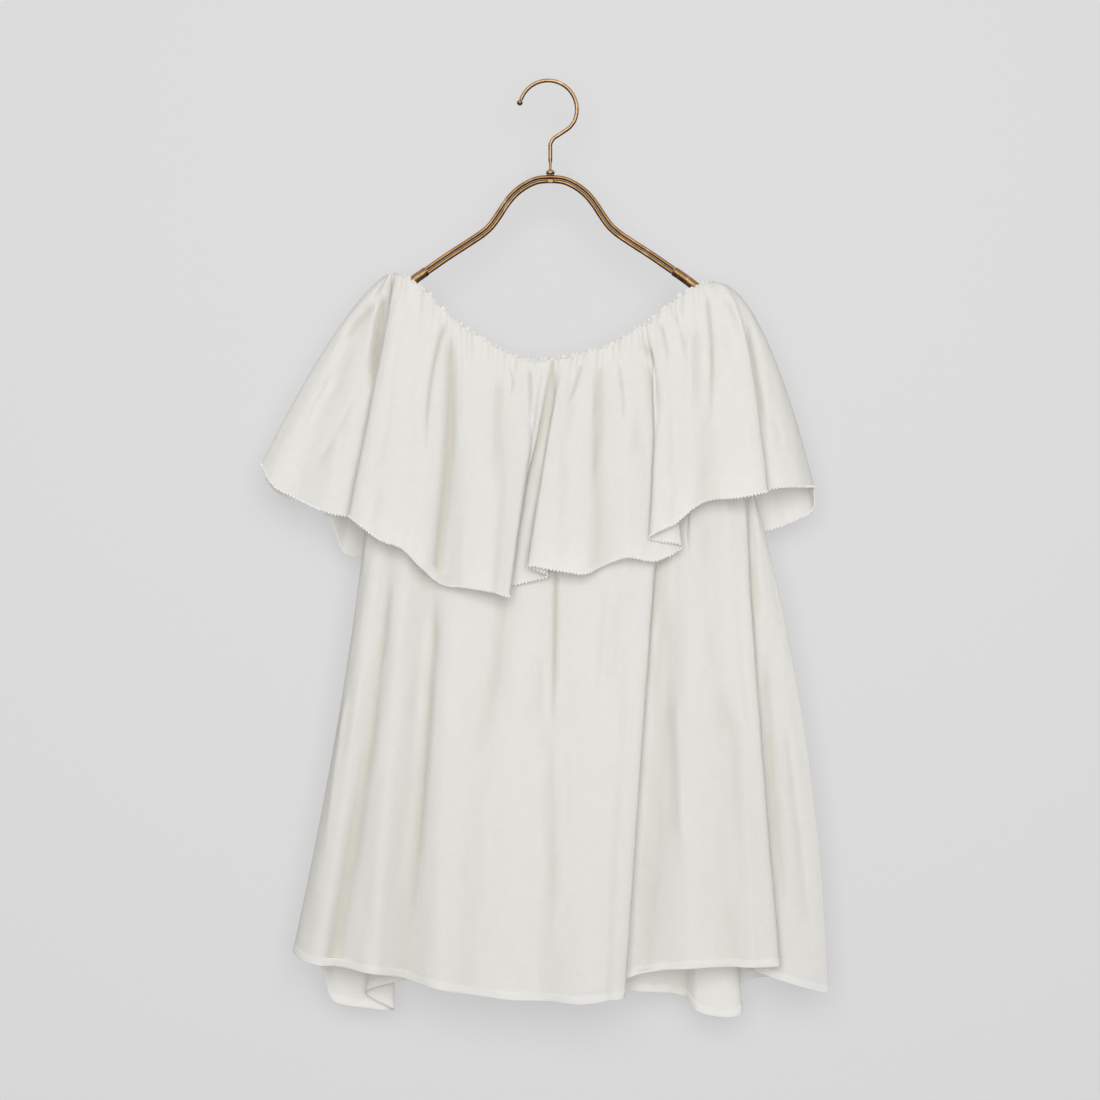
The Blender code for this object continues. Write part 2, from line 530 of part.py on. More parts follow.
class Panel:
    """A hanging panel whose folds are the rows of a table."""

    NECK_SHARE = 0.5
    FINE = 1201

    def __init__(self, side, rows, top_line):
        self.side = side
        self.ring = NeckRing(side)
        self.top_line = top_line
        self.top_x = np.array([row.top_x for row in rows])
        tops, _ = top_line(self.ring, self.top_x)
        edges = np.array([(row.edge_x, row.edge_y + side * SEAM_GAP / 2, row.edge_z) for row in rows])
        self.fall = edges - tops
        self.flare = np.array([row.flare for row in rows])
        self.deepen = np.array([row.deepen for row in rows])
        self.bow = np.array([row.bow for row in rows])
        at_top = np.linalg.norm(np.diff(tops, axis=0), axis=1)
        at_edge = np.linalg.norm(np.diff(edges, axis=0), axis=1)
        share = self.NECK_SHARE * at_top / at_top.sum() + (1 - self.NECK_SHARE) * at_edge / at_edge.sum()
        self.knots = np.concatenate([[0.0], np.cumsum(share)])
        self.fall_slopes = self.rounded_slopes(edges)
        self.edge_z = edges[:, 2]
        self.edge_slopes = slopes_smooth(self.knots, self.edge_z)

    def rounded_slopes(self, edges):
        """Tangents of the fall, wide enough where the cloth turns back for a rounded fold."""
        slopes = slopes_smooth(self.knots, self.fall)
        drift = slopes_monotone(self.knots, self.top_x)
        spans = np.diff(self.knots)
        for k in range(1, len(edges) - 1):
            before, after = edges[k] - edges[k - 1], edges[k + 1] - edges[k]
            if before[0] * after[0] >= 0:
                continue
            needed = max(
                math.sqrt(6 * FOLD_RADIUS * abs(before[0])) / spans[k - 1],
                math.sqrt(6 * FOLD_RADIUS * abs(after[0])) / spans[k],
            )
            slopes[k, 0] = -drift[k]
            slopes[k, 1] = math.copysign(needed, before[1] + after[1])
        return slopes

    def fall_at(self, across, top):
        """How far the cloth falls at each place, to an edge that drops evenly from fold to fold."""
        fall = cubic(self.knots, self.fall, across, self.fall_slopes)
        fall[:, 2] = cubic(self.knots, self.edge_z, across, self.edge_slopes) - top[:, 2]
        return fall

    def columns_at(self, columns):
        """Places across the panel, closer together where the edge turns round a fold."""
        fine = np.linspace(0.0, self.knots[-1], self.FINE)
        top, _ = self.top_line(self.ring, monotone_curve(self.knots, self.top_x, fine))
        edge = top + self.fall_at(fine, top)
        heading = np.unwrap(np.arctan2(*np.gradient(edge[:, :2], axis=0).T))
        share = np.zeros(self.FINE - 1)
        for part, steps in (
            (COLUMNS_BY_TOP, np.linalg.norm(np.diff(top, axis=0), axis=1)),
            (COLUMNS_BY_EDGE, np.linalg.norm(np.diff(edge, axis=0), axis=1)),
            (COLUMNS_BY_TURN, np.abs(np.diff(heading))),
        ):
            share += part * steps / steps.sum()
        measure = np.concatenate([[0.0], np.cumsum(share)])
        return np.interp(np.linspace(0.0, measure[-1], columns + 1), measure, fine)

    def grid(self, columns, levels, hem=0.0, gather=0.0):
        """Points down and across the panel, and the outward direction along its top."""
        across = self.columns_at(columns)
        top_x = monotone_curve(self.knots, self.top_x, across)
        top, out = self.top_line(self.ring, top_x)
        fall = self.fall_at(across, top)
        flare = monotone_curve(self.knots, self.flare, across)
        deepen = monotone_curve(self.knots, self.deepen, across)
        bow = monotone_curve(self.knots, self.bow, across)
        down = np.repeat(np.array(levels)[:, None], columns + 1, axis=1)
        if hem:
            band = hem / np.linalg.norm(fall, axis=1)
            body = down * (1.0 - band)
            down = np.vstack([body, 1.0 - band * (1.0 + HEM_STEP), 1.0 - band, np.ones(columns + 1)])
        points = np.empty((len(down), columns + 1, 3))
        points[..., 0] = top[:, 0] + fall[:, 0] * down**flare + bow * 4 * down * (1.0 - down)
        points[..., 1] = top[:, 1] + fall[:, 1] * down**deepen
        points[..., 2] = top[:, 2] + fall[:, 2] * down
        if gather:
            pitch = COLUMNS_PER_GATHER * np.linalg.norm(np.gradient(top, axis=0), axis=1)
            wave = 0.5 + 0.5 * np.cos(2 * math.pi * np.arange(columns + 1) / COLUMNS_PER_GATHER)
            uneven = 1.0 - GATHER_UNEVEN + GATHER_UNEVEN * np.sin(np.arange(columns + 1) * GATHER_UNEVEN_TURN)
            depth = np.minimum(abs(gather), GATHER_SHARE_OF_PITCH * pitch) * math.copysign(1.0, gather)
            fade = np.clip(1.0 - down / GATHER_FADE, 0.0, 1.0) ** GATHER_FADE_POWER
            points += (fade * depth * wave * uneven)[..., None] * out
        return points, out


def wall_normals(points, side, top_out):
    """The outward direction at each point, kept square to the seams and to the casing."""
    across = np.gradient(points, axis=1)
    down = np.gradient(points, axis=0)
    normals = side * unit(np.cross(across, down))
    for column, way in ((0, -1.0), (-1, 1.0)):
        outward = np.zeros((len(points), 3))
        outward[:, 0] = way
        along = unit(down[:, column])
        normals[:, column] = unit(outward - (outward * along).sum(axis=1, keepdims=True) * along)
    if top_out is not None:
        normals[0] = top_out
    return normals


def build_wall(name, points, side, thickness, top_out=None):
    """A cloth wall of the given thickness at each level, closed along its four edges."""
    levels, columns = points.shape[:2]
    normals = wall_normals(points, side, top_out)
    half = np.asarray(thickness)[:, None, None] / 2
    outer = (points + normals * half).reshape(-1, 3)
    inner = (points - normals * half).reshape(-1, 3)
    behind = levels * columns
    faces = []

    def add(corners):
        faces.append(corners if side == FRONT else corners[::-1])

    for i in range(levels - 1):
        for j in range(columns - 1):
            a, b = i * columns + j, (i + 1) * columns + j
            add([a, b, b + 1, a + 1])
            add([behind + a, behind + a + 1, behind + b + 1, behind + b])
    for j in range(columns - 1):
        low = (levels - 1) * columns + j
        add([j, j + 1, behind + j + 1, behind + j])
        add([low, behind + low, behind + low + 1, low + 1])
    for i in range(levels - 1):
        left, right = i * columns, (i + 1) * columns - 1
        add([left, behind + left, behind + left + columns, left + columns])
        add([right, right + columns, behind + right + columns, behind + right])
    return add_mesh(name, np.vstack([outer, inner]), faces, CLOTH_FINISH)


def build_flounce(name, side, rows, columns, levels):
    """Half of the deep flounce, front or back."""
    panel = Panel(side, rows, flounce_top)
    points, out = panel.grid(columns, levels, gather=GATHER_DEPTH)
    return build_wall(name, points, side, [CLOTH] * len(points), out)


def build_body(name, side, rows, columns):
    """A body panel with its armholes and its thicker turned hem."""
    panel = Panel(side, rows, body_top)
    points, out = panel.grid(columns, BODY_LEVELS, hem=HEM_DEPTH, gather=-GATHER_DEPTH / 2)
    thickness = [CLOTH] * (len(points) - 2) + [HEM_CLOTH] * 2
    return build_wall(name, points, side, thickness)


def add_wire(name, path, radius, radii=None):
    """A round bar along a path of (x, z) points in the plane y = 0."""
    curve = bpy.data.curves.new(name, "CURVE")
    curve.dimensions = "3D"
    curve.bevel_depth = radius * MM
    curve.bevel_resolution = 2
    curve.use_fill_caps = True
    spline = curve.splines.new("POLY")
    spline.points.add(len(path) - 1)
    for k, (x, z) in enumerate(path):
        spline.points[k].co = (x * MM, 0.0, z * MM, 1.0)
        spline.points[k].radius = 1.0 if radii is None else radii[k]
    spline.use_smooth = True
    obj = bpy.data.objects.new(name, curve)
    curve.materials.append(material(name, BRASS_FINISH))
    bpy.context.scene.collection.objects.link(obj)
    return obj


def turned(name, profile, centre):
    """A solid turned about the vertical line through centre, from (radius, height) pairs."""
    points, faces = [], []
    for radius, height in profile:
        for k in range(TURNED_SIDES):
            angle = 2 * math.pi * k / TURNED_SIDES
            offset = (radius * math.cos(angle), radius * math.sin(angle), height)
            points.append(np.add(centre, offset))
    for i in range(len(profile) - 1):
        for k in range(TURNED_SIDES):
            following = (k + 1) % TURNED_SIDES
            low, high = i * TURNED_SIDES, (i + 1) * TURNED_SIDES
            faces.append([low + k, low + following, high + following, high + k])
    faces.append(list(range(TURNED_SIDES))[::-1])
    faces.append([(len(profile) - 1) * TURNED_SIDES + k for k in range(TURNED_SIDES)])
    return add_mesh(name, points, faces, BRASS_FINISH)


def hook_path():
    """The hook's wire from its open end round the crook and down the stem."""
    centre_z = WIRE_RADIUS - HOOK_RADIUS
    path = []
    for angle in np.linspace(*np.radians(HOOK_ARC), HOOK_ARC_POINTS):
        path.append((HOOK_RADIUS * math.cos(angle), centre_z + HOOK_RADIUS * math.sin(angle)))
    bend = [path[-1], *HOOK_BEND]
    places = np.linspace(HOOK_BEND_START, len(bend) - 1, HOOK_BEND_POINTS)
    path += [tuple(point) for point in smooth_curve(range(len(bend)), bend, places)]
    stem_foot = ARCH_TOP + SEAM_GAP + NUT_HEIGHT + SEAM_GAP
    path += [(STEM_X, level) for level in (*STEM_TAPER_LEVELS, stem_foot)]
    return path


def build_hook():
    """Hook wire, its ball end and the domed nut that it stands in."""
    path = hook_path()
    radii = [1.0] * (len(path) - 2) + [STEM_TAPER] * 2
    add_wire("hanger_hook", path, WIRE_RADIUS, radii)
    start, angle = path[0], math.radians(HOOK_ARC[0])
    reach = HOOK_BALL_RADIUS + SEAM_GAP
    ball = (start[0] - reach * math.sin(angle), 0.0, start[1] + reach * math.cos(angle))
    profile = []
    for k in range(1, HOOK_BALL_RINGS):
        angle = math.pi * k / HOOK_BALL_RINGS
        profile.append((HOOK_BALL_RADIUS * math.sin(angle), -HOOK_BALL_RADIUS * math.cos(angle)))
    turned("hook_ball", profile, ball)
    profile = [(NUT_RADIUS * row.width, row.height) for row in NUT]
    turned("stem_nut", profile, (STEM_X, 0.0, ARCH_TOP + SEAM_GAP))


def arm_line():
    """Middle line of the rod pair as (x, z), from the left sleeve over the arch to the right one."""
    arch = ARCH_TOP - 2 * ROD_RADIUS - ROD_GAP / 2
    right = np.array(ARM) + (0.0, arch)
    left = right[:0:-1] * (-1.0, 1.0)
    whole = np.vstack([left, right])
    run = np.concatenate([[0.0], np.cumsum(np.linalg.norm(np.diff(whole, axis=0), axis=1))])
    return smooth_curve(run, whole, np.linspace(0.0, run[-1], ROD_POINTS)) + (STEM_X, 0.0)


def build_rods(line):
    """Two rods, one above the other, along the arms' middle line."""
    along = unit(np.gradient(line, axis=0))
    across = np.stack([-along[:, 1], along[:, 0]], axis=1)
    offset = ROD_RADIUS + ROD_GAP / 2
    add_wire("hanger_rod_upper", [tuple(point) for point in line + across * offset], ROD_RADIUS)
    add_wire("hanger_rod_lower", [tuple(point) for point in line - across * offset], ROD_RADIUS)


def build_rivet():
    """The small rounded plate in front of the rods, under the stem."""
    width, depth, height = RIVET_SIZE
    centre_z = ARCH_TOP - 3 * ROD_RADIUS - ROD_GAP
    front = -ROD_RADIUS - SEAM_GAP
    outline = [*RIVET_CORNER, *((-x, z) for x, z in reversed(RIVET_CORNER))]
    outline += [(-x, -z) for x, z in outline]
    points = []
    for y, scale in ((front, 1.0), (front - depth * RIVET_SHOULDER, 1.0), (front - depth, RIVET_FACE)):
        for x, z in outline:
            points.append((STEM_X + x * width * scale, y, centre_z + z * height * scale))
    size = len(outline)
    faces = [list(range(size))[::-1], [2 * size + k for k in range(size)]]
    for ring in (0, size):
        for k in range(size):
            following = (k + 1) % size
            faces.append([ring + k, ring + following, ring + size + following, ring + size + k])
    add_mesh("arch_rivet", points, faces, BRASS_FINISH)


def build_sleeve(name, way, foot, inner):
    """A smooth end sleeve that grips both rods and carries the neck of the top."""
    direction = unit(foot - inner)
    start = foot + direction * SEAM_GAP
    knots = [start, start + direction * SLEEVE_STRAIGHT]
    knots += [(STEM_X + way * reach, SLEEVE_LEVEL + rise) for reach, rise in SLEEVE_BEND]
    knots.append((STEM_X + way * SLEEVE_END, SLEEVE_LEVEL))
    curve = smooth_curve(range(len(knots)), knots, np.linspace(0.0, len(knots) - 2, SLEEVE_POINTS))
    path = [tuple(point) for point in curve]
    radii = [SLEEVE_LIP] + [1.0] * (SLEEVE_POINTS - 1)
    for back, share in SLEEVE_TIP:
        path.append((STEM_X + way * (SLEEVE_END - back), SLEEVE_LEVEL))
        radii.append(share)
    add_wire(name, path, SLEEVE_RADIUS, radii)


def main():
    """Builds the top's panels and the hanger that carries them."""
    clear_scene()
    build_casing("neck_casing_front", FRONT, CASING_GATHERS_FRONT)
    build_casing("neck_casing_back", BACK, CASING_GATHERS_BACK)
    build_flounce("flounce_front", FRONT, FLOUNCE_FRONT, FLOUNCE_FRONT_COLUMNS, FLOUNCE_FRONT_LEVELS)
    build_flounce("flounce_back", BACK, FLOUNCE_BACK, FLOUNCE_BACK_COLUMNS, FLOUNCE_BACK_LEVELS)
    build_body("body_front", FRONT, BODY_FRONT, BODY_FRONT_COLUMNS)
    build_body("body_back", BACK, BODY_BACK, BODY_BACK_COLUMNS)
    build_hook()
    line = arm_line()
    build_rods(line)
    build_rivet()
    build_sleeve("hanger_sleeve_left", -1.0, line[0], line[1])
    build_sleeve("hanger_sleeve_right", 1.0, line[-1], line[-2])


main()
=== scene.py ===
"""Ivory off-shoulder top with a deep picot-edged flounce, on an antique brass double-rod hanger.

Shapes are worked out in millimetres and become metres when a mesh is made. X runs to the
viewer's right, Y away from the viewer and Z up, from the inside top of the hook.
"""

import logging
import math
from dataclasses import dataclass, field
from enum import Enum
from typing import Callable, NamedTuple, Sequence

import bpy
import numpy as np
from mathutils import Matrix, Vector


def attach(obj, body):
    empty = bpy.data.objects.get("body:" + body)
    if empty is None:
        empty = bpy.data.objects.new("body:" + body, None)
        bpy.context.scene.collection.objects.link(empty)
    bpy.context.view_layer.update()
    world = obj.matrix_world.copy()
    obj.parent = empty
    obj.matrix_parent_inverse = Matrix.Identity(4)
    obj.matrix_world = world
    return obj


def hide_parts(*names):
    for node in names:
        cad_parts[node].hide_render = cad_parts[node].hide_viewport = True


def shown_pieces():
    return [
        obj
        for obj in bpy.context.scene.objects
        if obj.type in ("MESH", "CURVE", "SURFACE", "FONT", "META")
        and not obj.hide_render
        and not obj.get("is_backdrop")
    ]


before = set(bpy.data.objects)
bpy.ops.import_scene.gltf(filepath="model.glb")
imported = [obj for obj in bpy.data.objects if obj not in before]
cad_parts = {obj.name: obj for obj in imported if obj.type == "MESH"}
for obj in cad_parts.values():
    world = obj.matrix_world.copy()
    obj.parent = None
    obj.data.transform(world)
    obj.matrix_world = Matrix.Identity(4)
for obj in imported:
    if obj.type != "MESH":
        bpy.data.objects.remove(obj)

LOG = logging.getLogger("off_shoulder_top")
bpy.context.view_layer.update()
MM = 0.001
BODY = "root"

# Red, green and blue; pairs along a profile; pitch, depth, short and long reach of gathers
Colour = tuple[float, float, float]
Profile = tuple[tuple[float, float], ...]
Train = tuple[float, float, float, float]

# Angle above which an edge of the cloth is shaded crisp
RIM_ANGLE = 60.0

# Half widths at which the mask of painted shade in the cloth's hollows is measured, and the weight
# of each
HOLLOW_REACHES = ((3.2, 0.8), (8.0, 1.1))

# Seams, and how a panel hangs from the casing: the flounce starts COVER_RISE above the
# casing's lower edge and stands COVER_OFFSET further out than its layer
SEAM_GAP = 0.3
FOLD_RADIUS = 2.2
LAYER_OFFSET = 1.4
SHOULDER_OFFSET = 3.4
SHOULDER_REACH = 11.0
SHOULDER_STEEPNESS = 2.0
COVER_OFFSET = 1.1
COVER_RISE = 10.8
CASING_HEIGHT = 13.0

# Plan of the neck ring, seen from above
NECK_LEFT = -154.4
NECK_RIGHT = 165.9
NECK_FRONT_DEPTH = 22.0
NECK_BACK_DEPTH = 20.0
NECK_PLAN_POWER = 2.8

# Armholes of the body, under the flounce
ARMHOLE_LEFT = -98.0
ARMHOLE_RIGHT = 108.0
UNDERARM_LEFT = (-178.0, -378.0)
UNDERARM_RIGHT = (200.5, -392.0)
ARMHOLE_CURVE = 0.85

# Hanger
STEM_X = 2.3
ARCH_TOP = -92.5
NUT_HEIGHT = 5.4


class Side(Enum):
    """Which half of the top a piece belongs to, by the way its outer face points along Y."""

    FRONT = -1
    BACK = 1


class Axis(Enum):
    """Local axis that a repeated shape turns towards its guide."""

    X = "X"
    Z = "Z"


class NeckRow(NamedTuple):
    """Top edge of the casing: its height at one place, in front and behind."""

    x: float
    front_z: float
    back_z: float


class FoldRow(NamedTuple):
    """One fold of a hanging panel, from where it leaves the panel's top to its lower edge."""

    name: str
    top_x: float
    edge_x: float
    edge_y: float
    edge_z: float
    flare: float
    deepen: float
    bow: float = 0.0


class CreaseRow(NamedTuple):
    """One crease seen from outside, through three points; a negative depth stands proud."""

    top_x: float
    top_z: float
    mid_x: float
    mid_z: float
    low_x: float
    low_z: float
    width: float
    depth: float


class Cut(NamedTuple):
    """Flat pattern of one panel, in metres: its box and the cloth inside it."""

    width: float
    length: float
    area: float


class WireRow(NamedTuple):
    """One point that a bar's middle line passes, and the bar's radius there."""

    x: float
    z: float
    radius: float


NECKLINE = (
    NeckRow(NECK_LEFT, -190.9, -190.9),
    NeckRow(-148.0, -191.3, -191.5),
    NeckRow(-128.0, -203.0, -206.0),
    NeckRow(-100.0, -231.0, -236.0),
    NeckRow(-64.0, -257.5, -265.0),
    NeckRow(-25.0, -276.5, -284.0),
    NeckRow(20.0, -274.5, -285.0),
    NeckRow(60.0, -263.5, -272.0),
    NeckRow(100.0, -239.0, -246.0),
    NeckRow(135.0, -211.0, -214.0),
    NeckRow(159.0, -199.6, -199.8),
    NeckRow(NECK_RIGHT, -199.0, -199.0),
)

FLOUNCE_FRONT = (
    FoldRow("left seam", NECK_LEFT, -286.0, 0.0, -381.5, 0.73, 0.8),
    FoldRow("left wing ridge", -154.1, -272.0, -12.0, -403.5, 0.73, 0.8),
    FoldRow("left wing valley", -153.6, -248.0, -9.0, -416.5, 0.75, 0.8),
    FoldRow("left wing inner ridge", -152.9, -221.0, -19.0, -428.5, 0.78, 0.8),
    FoldRow("turn behind lobe", -151.6, -176.0, -17.0, -437.0, 1.05, 0.6),
    FoldRow("lobe left fold", -149.5, -197.0, -31.0, -433.0, 1.05, 0.5),
    FoldRow("lobe left panel", -137.0, -168.0, -43.0, -455.0, 1.0, 0.6),
    FoldRow("lobe soft ridge", -118.0, -142.0, -45.0, -466.0, 1.0, 0.7),
    FoldRow("crease ridge", -104.0, -124.0, -44.5, -484.0, 0.9, 0.7),
    FoldRow("crease valley", -94.0, -107.0, -34.0, -499.0, 1.1, 0.5, 3.0),
    FoldRow("lobe right ridge", -74.0, -83.0, -45.0, -503.0, 1.0, 0.7),
    FoldRow("lobe right panel", -38.0, -54.0, -46.5, -508.0, 1.0, 0.7),
    FoldRow("lobe corner fold", -5.0, -37.0, -44.0, -511.0, 1.0, 0.5),
    FoldRow("turn behind corner", 0.0, -52.0, -36.5, -506.0, 1.4, 0.5),
    FoldRow("under layer", 4.0, -22.0, -31.0, -498.5, 1.15, 0.5),
    FoldRow("turn behind second lobe", 8.0, 0.0, -35.0, -492.0, 1.3, 0.42),
    FoldRow("second lobe fold", 15.0, -20.0, -43.5, -482.5, 0.9, 0.42),
    FoldRow("second lobe panel", 27.0, 12.0, -47.0, -487.5, 1.0, 0.7),
    FoldRow("second lobe ridge", 42.0, 38.0, -45.0, -489.5, 1.0, 0.7),
    FoldRow("step valley", 53.0, 54.0, -37.0, -482.0, 1.1, 0.6, -3.0),
    FoldRow("step ridge", 68.0, 78.0, -43.0, -474.0, 1.1, 0.7),
    FoldRow("lower layer", 84.0, 110.0, -36.5, -476.5, 1.1, 0.6),
    FoldRow("turn behind third lobe", 91.0, 132.0, -34.0, -463.0, 1.2, 0.5, 4.0),
    FoldRow("third lobe fold", 98.0, 99.0, -43.5, -455.0, 1.0, 0.5, 5.0),
    FoldRow("third lobe panel", 112.0, 124.0, -48.0, -441.0, 1.0, 0.7, 3.0),
    FoldRow("third lobe ridge", 133.0, 144.0, -46.0, -424.5, 1.0, 0.7),
    FoldRow("right crease", 150.0, 163.0, -40.0, -417.0, 1.0, 0.6),
    FoldRow("right soft ridge", 157.0, 190.0, -45.0, -415.0, 0.7, 0.6),
    FoldRow("lobe right fold", 161.5, 216.0, -39.5, -409.0, 0.38, 0.5),
    FoldRow("turn behind right lobe", 163.6, 208.0, -28.0, -409.0, 0.45, 0.6),
    FoldRow("right wing inner ridge", 164.9, 234.0, -22.0, -404.5, 0.52, 0.8),
    FoldRow("right wing ridge", 165.5, 253.0, -14.0, -404.0, 0.54, 0.8),
    FoldRow("right seam", NECK_RIGHT, 266.0, 0.0, -403.5, 0.54, 0.8),
)

FLOUNCE_BACK = (
    FoldRow("left seam", NECK_LEFT, -286.0, 0.0, -381.5, 0.73, 0.8),
    FoldRow("left wing ridge", -153.9, -276.0, 13.0, -409.5, 0.73, 0.8),
    FoldRow("left wing panel", -152.5, -243.0, 25.0, -417.0, 0.73, 0.8),
    FoldRow("left wing valley", -149.5, -218.0, 18.0, -438.0, 0.72, 0.7),
    FoldRow("left hanging fold", -144.0, -207.0, 29.0, -468.0, 0.80, 0.7),
    FoldRow("left outer ridge", -130.0, -176.0, 37.0, -472.0, 0.9, 0.7),
    FoldRow("left outer valley", -114.0, -146.0, 26.5, -486.0, 1.0, 0.7),
    FoldRow("left lobe ridge", -98.0, -114.0, 39.0, -497.0, 1.0, 0.7),
    FoldRow("left lobe panel", -76.0, -82.0, 41.0, -507.0, 1.0, 0.7),
    FoldRow("left lobe fold", -54.0, -52.0, 38.0, -513.0, 1.0, 0.6),
    FoldRow("centre valley", -40.0, -38.0, 26.0, -508.0, 1.1, 0.6),
    FoldRow("centre ridge", -14.0, 0.0, 39.0, -512.0, 1.0, 0.7),
    FoldRow("centre soft valley", 8.0, 30.0, 30.0, -509.0, 1.0, 0.7),
    FoldRow("right inner ridge", 30.0, 62.0, 40.0, -507.0, 1.0, 0.7),
    FoldRow("right valley", 50.0, 88.0, 28.0, -500.0, 1.0, 0.7),
    FoldRow("turn behind right lobe", 60.0, 114.0, 31.0, -493.0, 1.3, 0.55),
    FoldRow("right lobe fold", 67.0, 88.0, 39.0, -490.0, 1.1, 0.55),
    FoldRow("right lobe panel", 84.0, 120.0, 42.0, -485.0, 1.0, 0.7),
    FoldRow("right outer valley", 108.0, 150.0, 28.0, -474.0, 0.95, 0.7),
    FoldRow("right outer ridge", 128.0, 180.0, 38.0, -461.0, 0.9, 0.7),
    FoldRow("right wing valley", 147.0, 212.0, 26.0, -449.0, 0.75, 0.7),
    FoldRow("right wing panel", 160.0, 241.0, 25.0, -440.5, 0.62, 0.8),
    FoldRow("right wing tip", 164.8, 267.0, 12.0, -423.5, 0.56, 0.8),
    FoldRow("right seam", NECK_RIGHT, 266.0, 0.0, -403.5, 0.54, 0.8),
)

BODY_FRONT = (
    FoldRow("left seam", UNDERARM_LEFT[0], -255.0, 0.0, -869.5, 1.4, 1.0),
    FoldRow("left turn", -172.0, -245.0, -14.0, -875.0, 1.35, 1.0),
    FoldRow("left ridge", -160.0, -228.0, -22.0, -879.0, 1.25, 1.0),
    FoldRow("left soft valley", -147.0, -211.0, -14.5, -881.0, 1.15, 0.9),
    FoldRow("left panel ridge", -126.0, -176.0, -29.0, -886.0, 1.1, 0.9),
    FoldRow("left deep valley", -99.0, -141.0, -12.5, -894.0, 1.1, 0.6),
    FoldRow("middle left ridge", -82.0, -114.0, -30.5, -900.0, 1.1, 0.9),
    FoldRow("middle soft valley", -38.0, -76.0, -24.0, -907.5, 1.1, 0.8),
    FoldRow("middle ridge", -16.0, -38.0, -31.0, -911.5, 1.0, 0.9),
    FoldRow("centre valley", 8.0, 0.0, -24.5, -914.0, 1.0, 0.6),
    FoldRow("centre ridge", 32.0, 26.0, -33.0, -915.5, 1.0, 0.9),
    FoldRow("overlap panel", 82.0, 58.0, -33.0, -912.0, 1.0, 0.8),
    FoldRow("overlap fold", 113.0, 76.0, -28.0, -908.5, 1.0, 0.6),
    FoldRow("turn behind overlap", 117.0, 60.0, -20.0, -902.0, 1.2, 0.6),
    FoldRow("under overlap", 121.0, 86.0, -13.0, -891.0, 1.1, 0.6),
    FoldRow("shaded valley", 127.0, 110.0, -17.0, -885.0, 1.1, 0.8),
    FoldRow("right inner ridge", 138.0, 138.0, -28.0, -881.5, 1.1, 0.9),
    FoldRow("right soft valley", 158.0, 180.0, -21.0, -880.5, 1.1, 0.9),
    FoldRow("right panel ridge", 178.0, 204.0, -29.0, -880.0, 1.1, 0.9),
    FoldRow("right front fold", 195.0, 230.0, -24.0, -879.0, 1.25, 0.7),
    FoldRow("turn behind front fold", 197.5, 201.0, -15.0, -883.0, 1.0, 0.7, 4.0),
    FoldRow("side extension", 199.2, 243.0, -10.0, -900.0, 0.9, 0.7, 10.0),
    FoldRow("right seam", UNDERARM_RIGHT[0], 280.0, 0.0, -911.5, 1.0, 0.8, 17.0),
)

BODY_BACK = (
    FoldRow("left seam", UNDERARM_LEFT[0], -255.0, 0.0, -869.5, 1.4, 1.0),
    FoldRow("left turn", -172.0, -245.0, 11.0, -878.0, 1.35, 1.0),
    FoldRow("left curl", -162.0, -228.0, 15.0, -888.0, 1.25, 1.0),
    FoldRow("left hanging fold", -152.0, -218.0, 24.0, -922.0, 1.15, 0.9),
    FoldRow("left hanging panel", -140.0, -186.0, 29.0, -931.0, 1.1, 0.7),
    FoldRow("left hanging edge", -130.0, -156.0, 26.0, -932.0, 1.0, 0.6),
    FoldRow("turn behind hanging edge", -124.0, -184.0, 18.5, -914.0, 1.3, 0.6),
    FoldRow("left valley", -112.0, -142.0, 12.0, -899.0, 1.1, 0.6),
    FoldRow("left ridge", -88.0, -104.0, 27.0, -893.0, 1.0, 0.9),
    FoldRow("left soft valley", -56.0, -64.0, 15.0, -899.0, 1.0, 0.8),
    FoldRow("centre ridge", -22.0, -24.0, 28.0, -905.0, 1.0, 0.9),
    FoldRow("centre valley", 10.0, 14.0, 15.0, -908.0, 1.0, 0.8),
    FoldRow("right inner ridge", 44.0, 54.0, 27.0, -908.5, 1.0, 0.9),
    FoldRow("right valley", 74.0, 88.0, 17.0, -912.0, 1.0, 0.8),
    FoldRow("right fold", 106.0, 138.0, 28.0, -919.5, 1.0, 0.8),
    FoldRow("right hanging panel", 122.0, 150.0, 16.0, -932.0, 1.0, 0.7),
    FoldRow("right hanging edge", 148.0, 196.0, 18.5, -932.5, 1.0, 0.6),
    FoldRow("turn behind right edge", 161.0, 188.0, 27.0, -914.0, 1.1, 0.7),
    FoldRow("side ridge", 180.0, 218.0, 31.0, -900.0, 1.0, 0.6, 8.0),
    FoldRow("side panel", 193.0, 258.0, 21.0, -906.0, 1.0, 0.8, 14.0),
    FoldRow("right seam", UNDERARM_RIGHT[0], 280.0, 0.0, -911.5, 1.0, 0.8, 17.0),
)

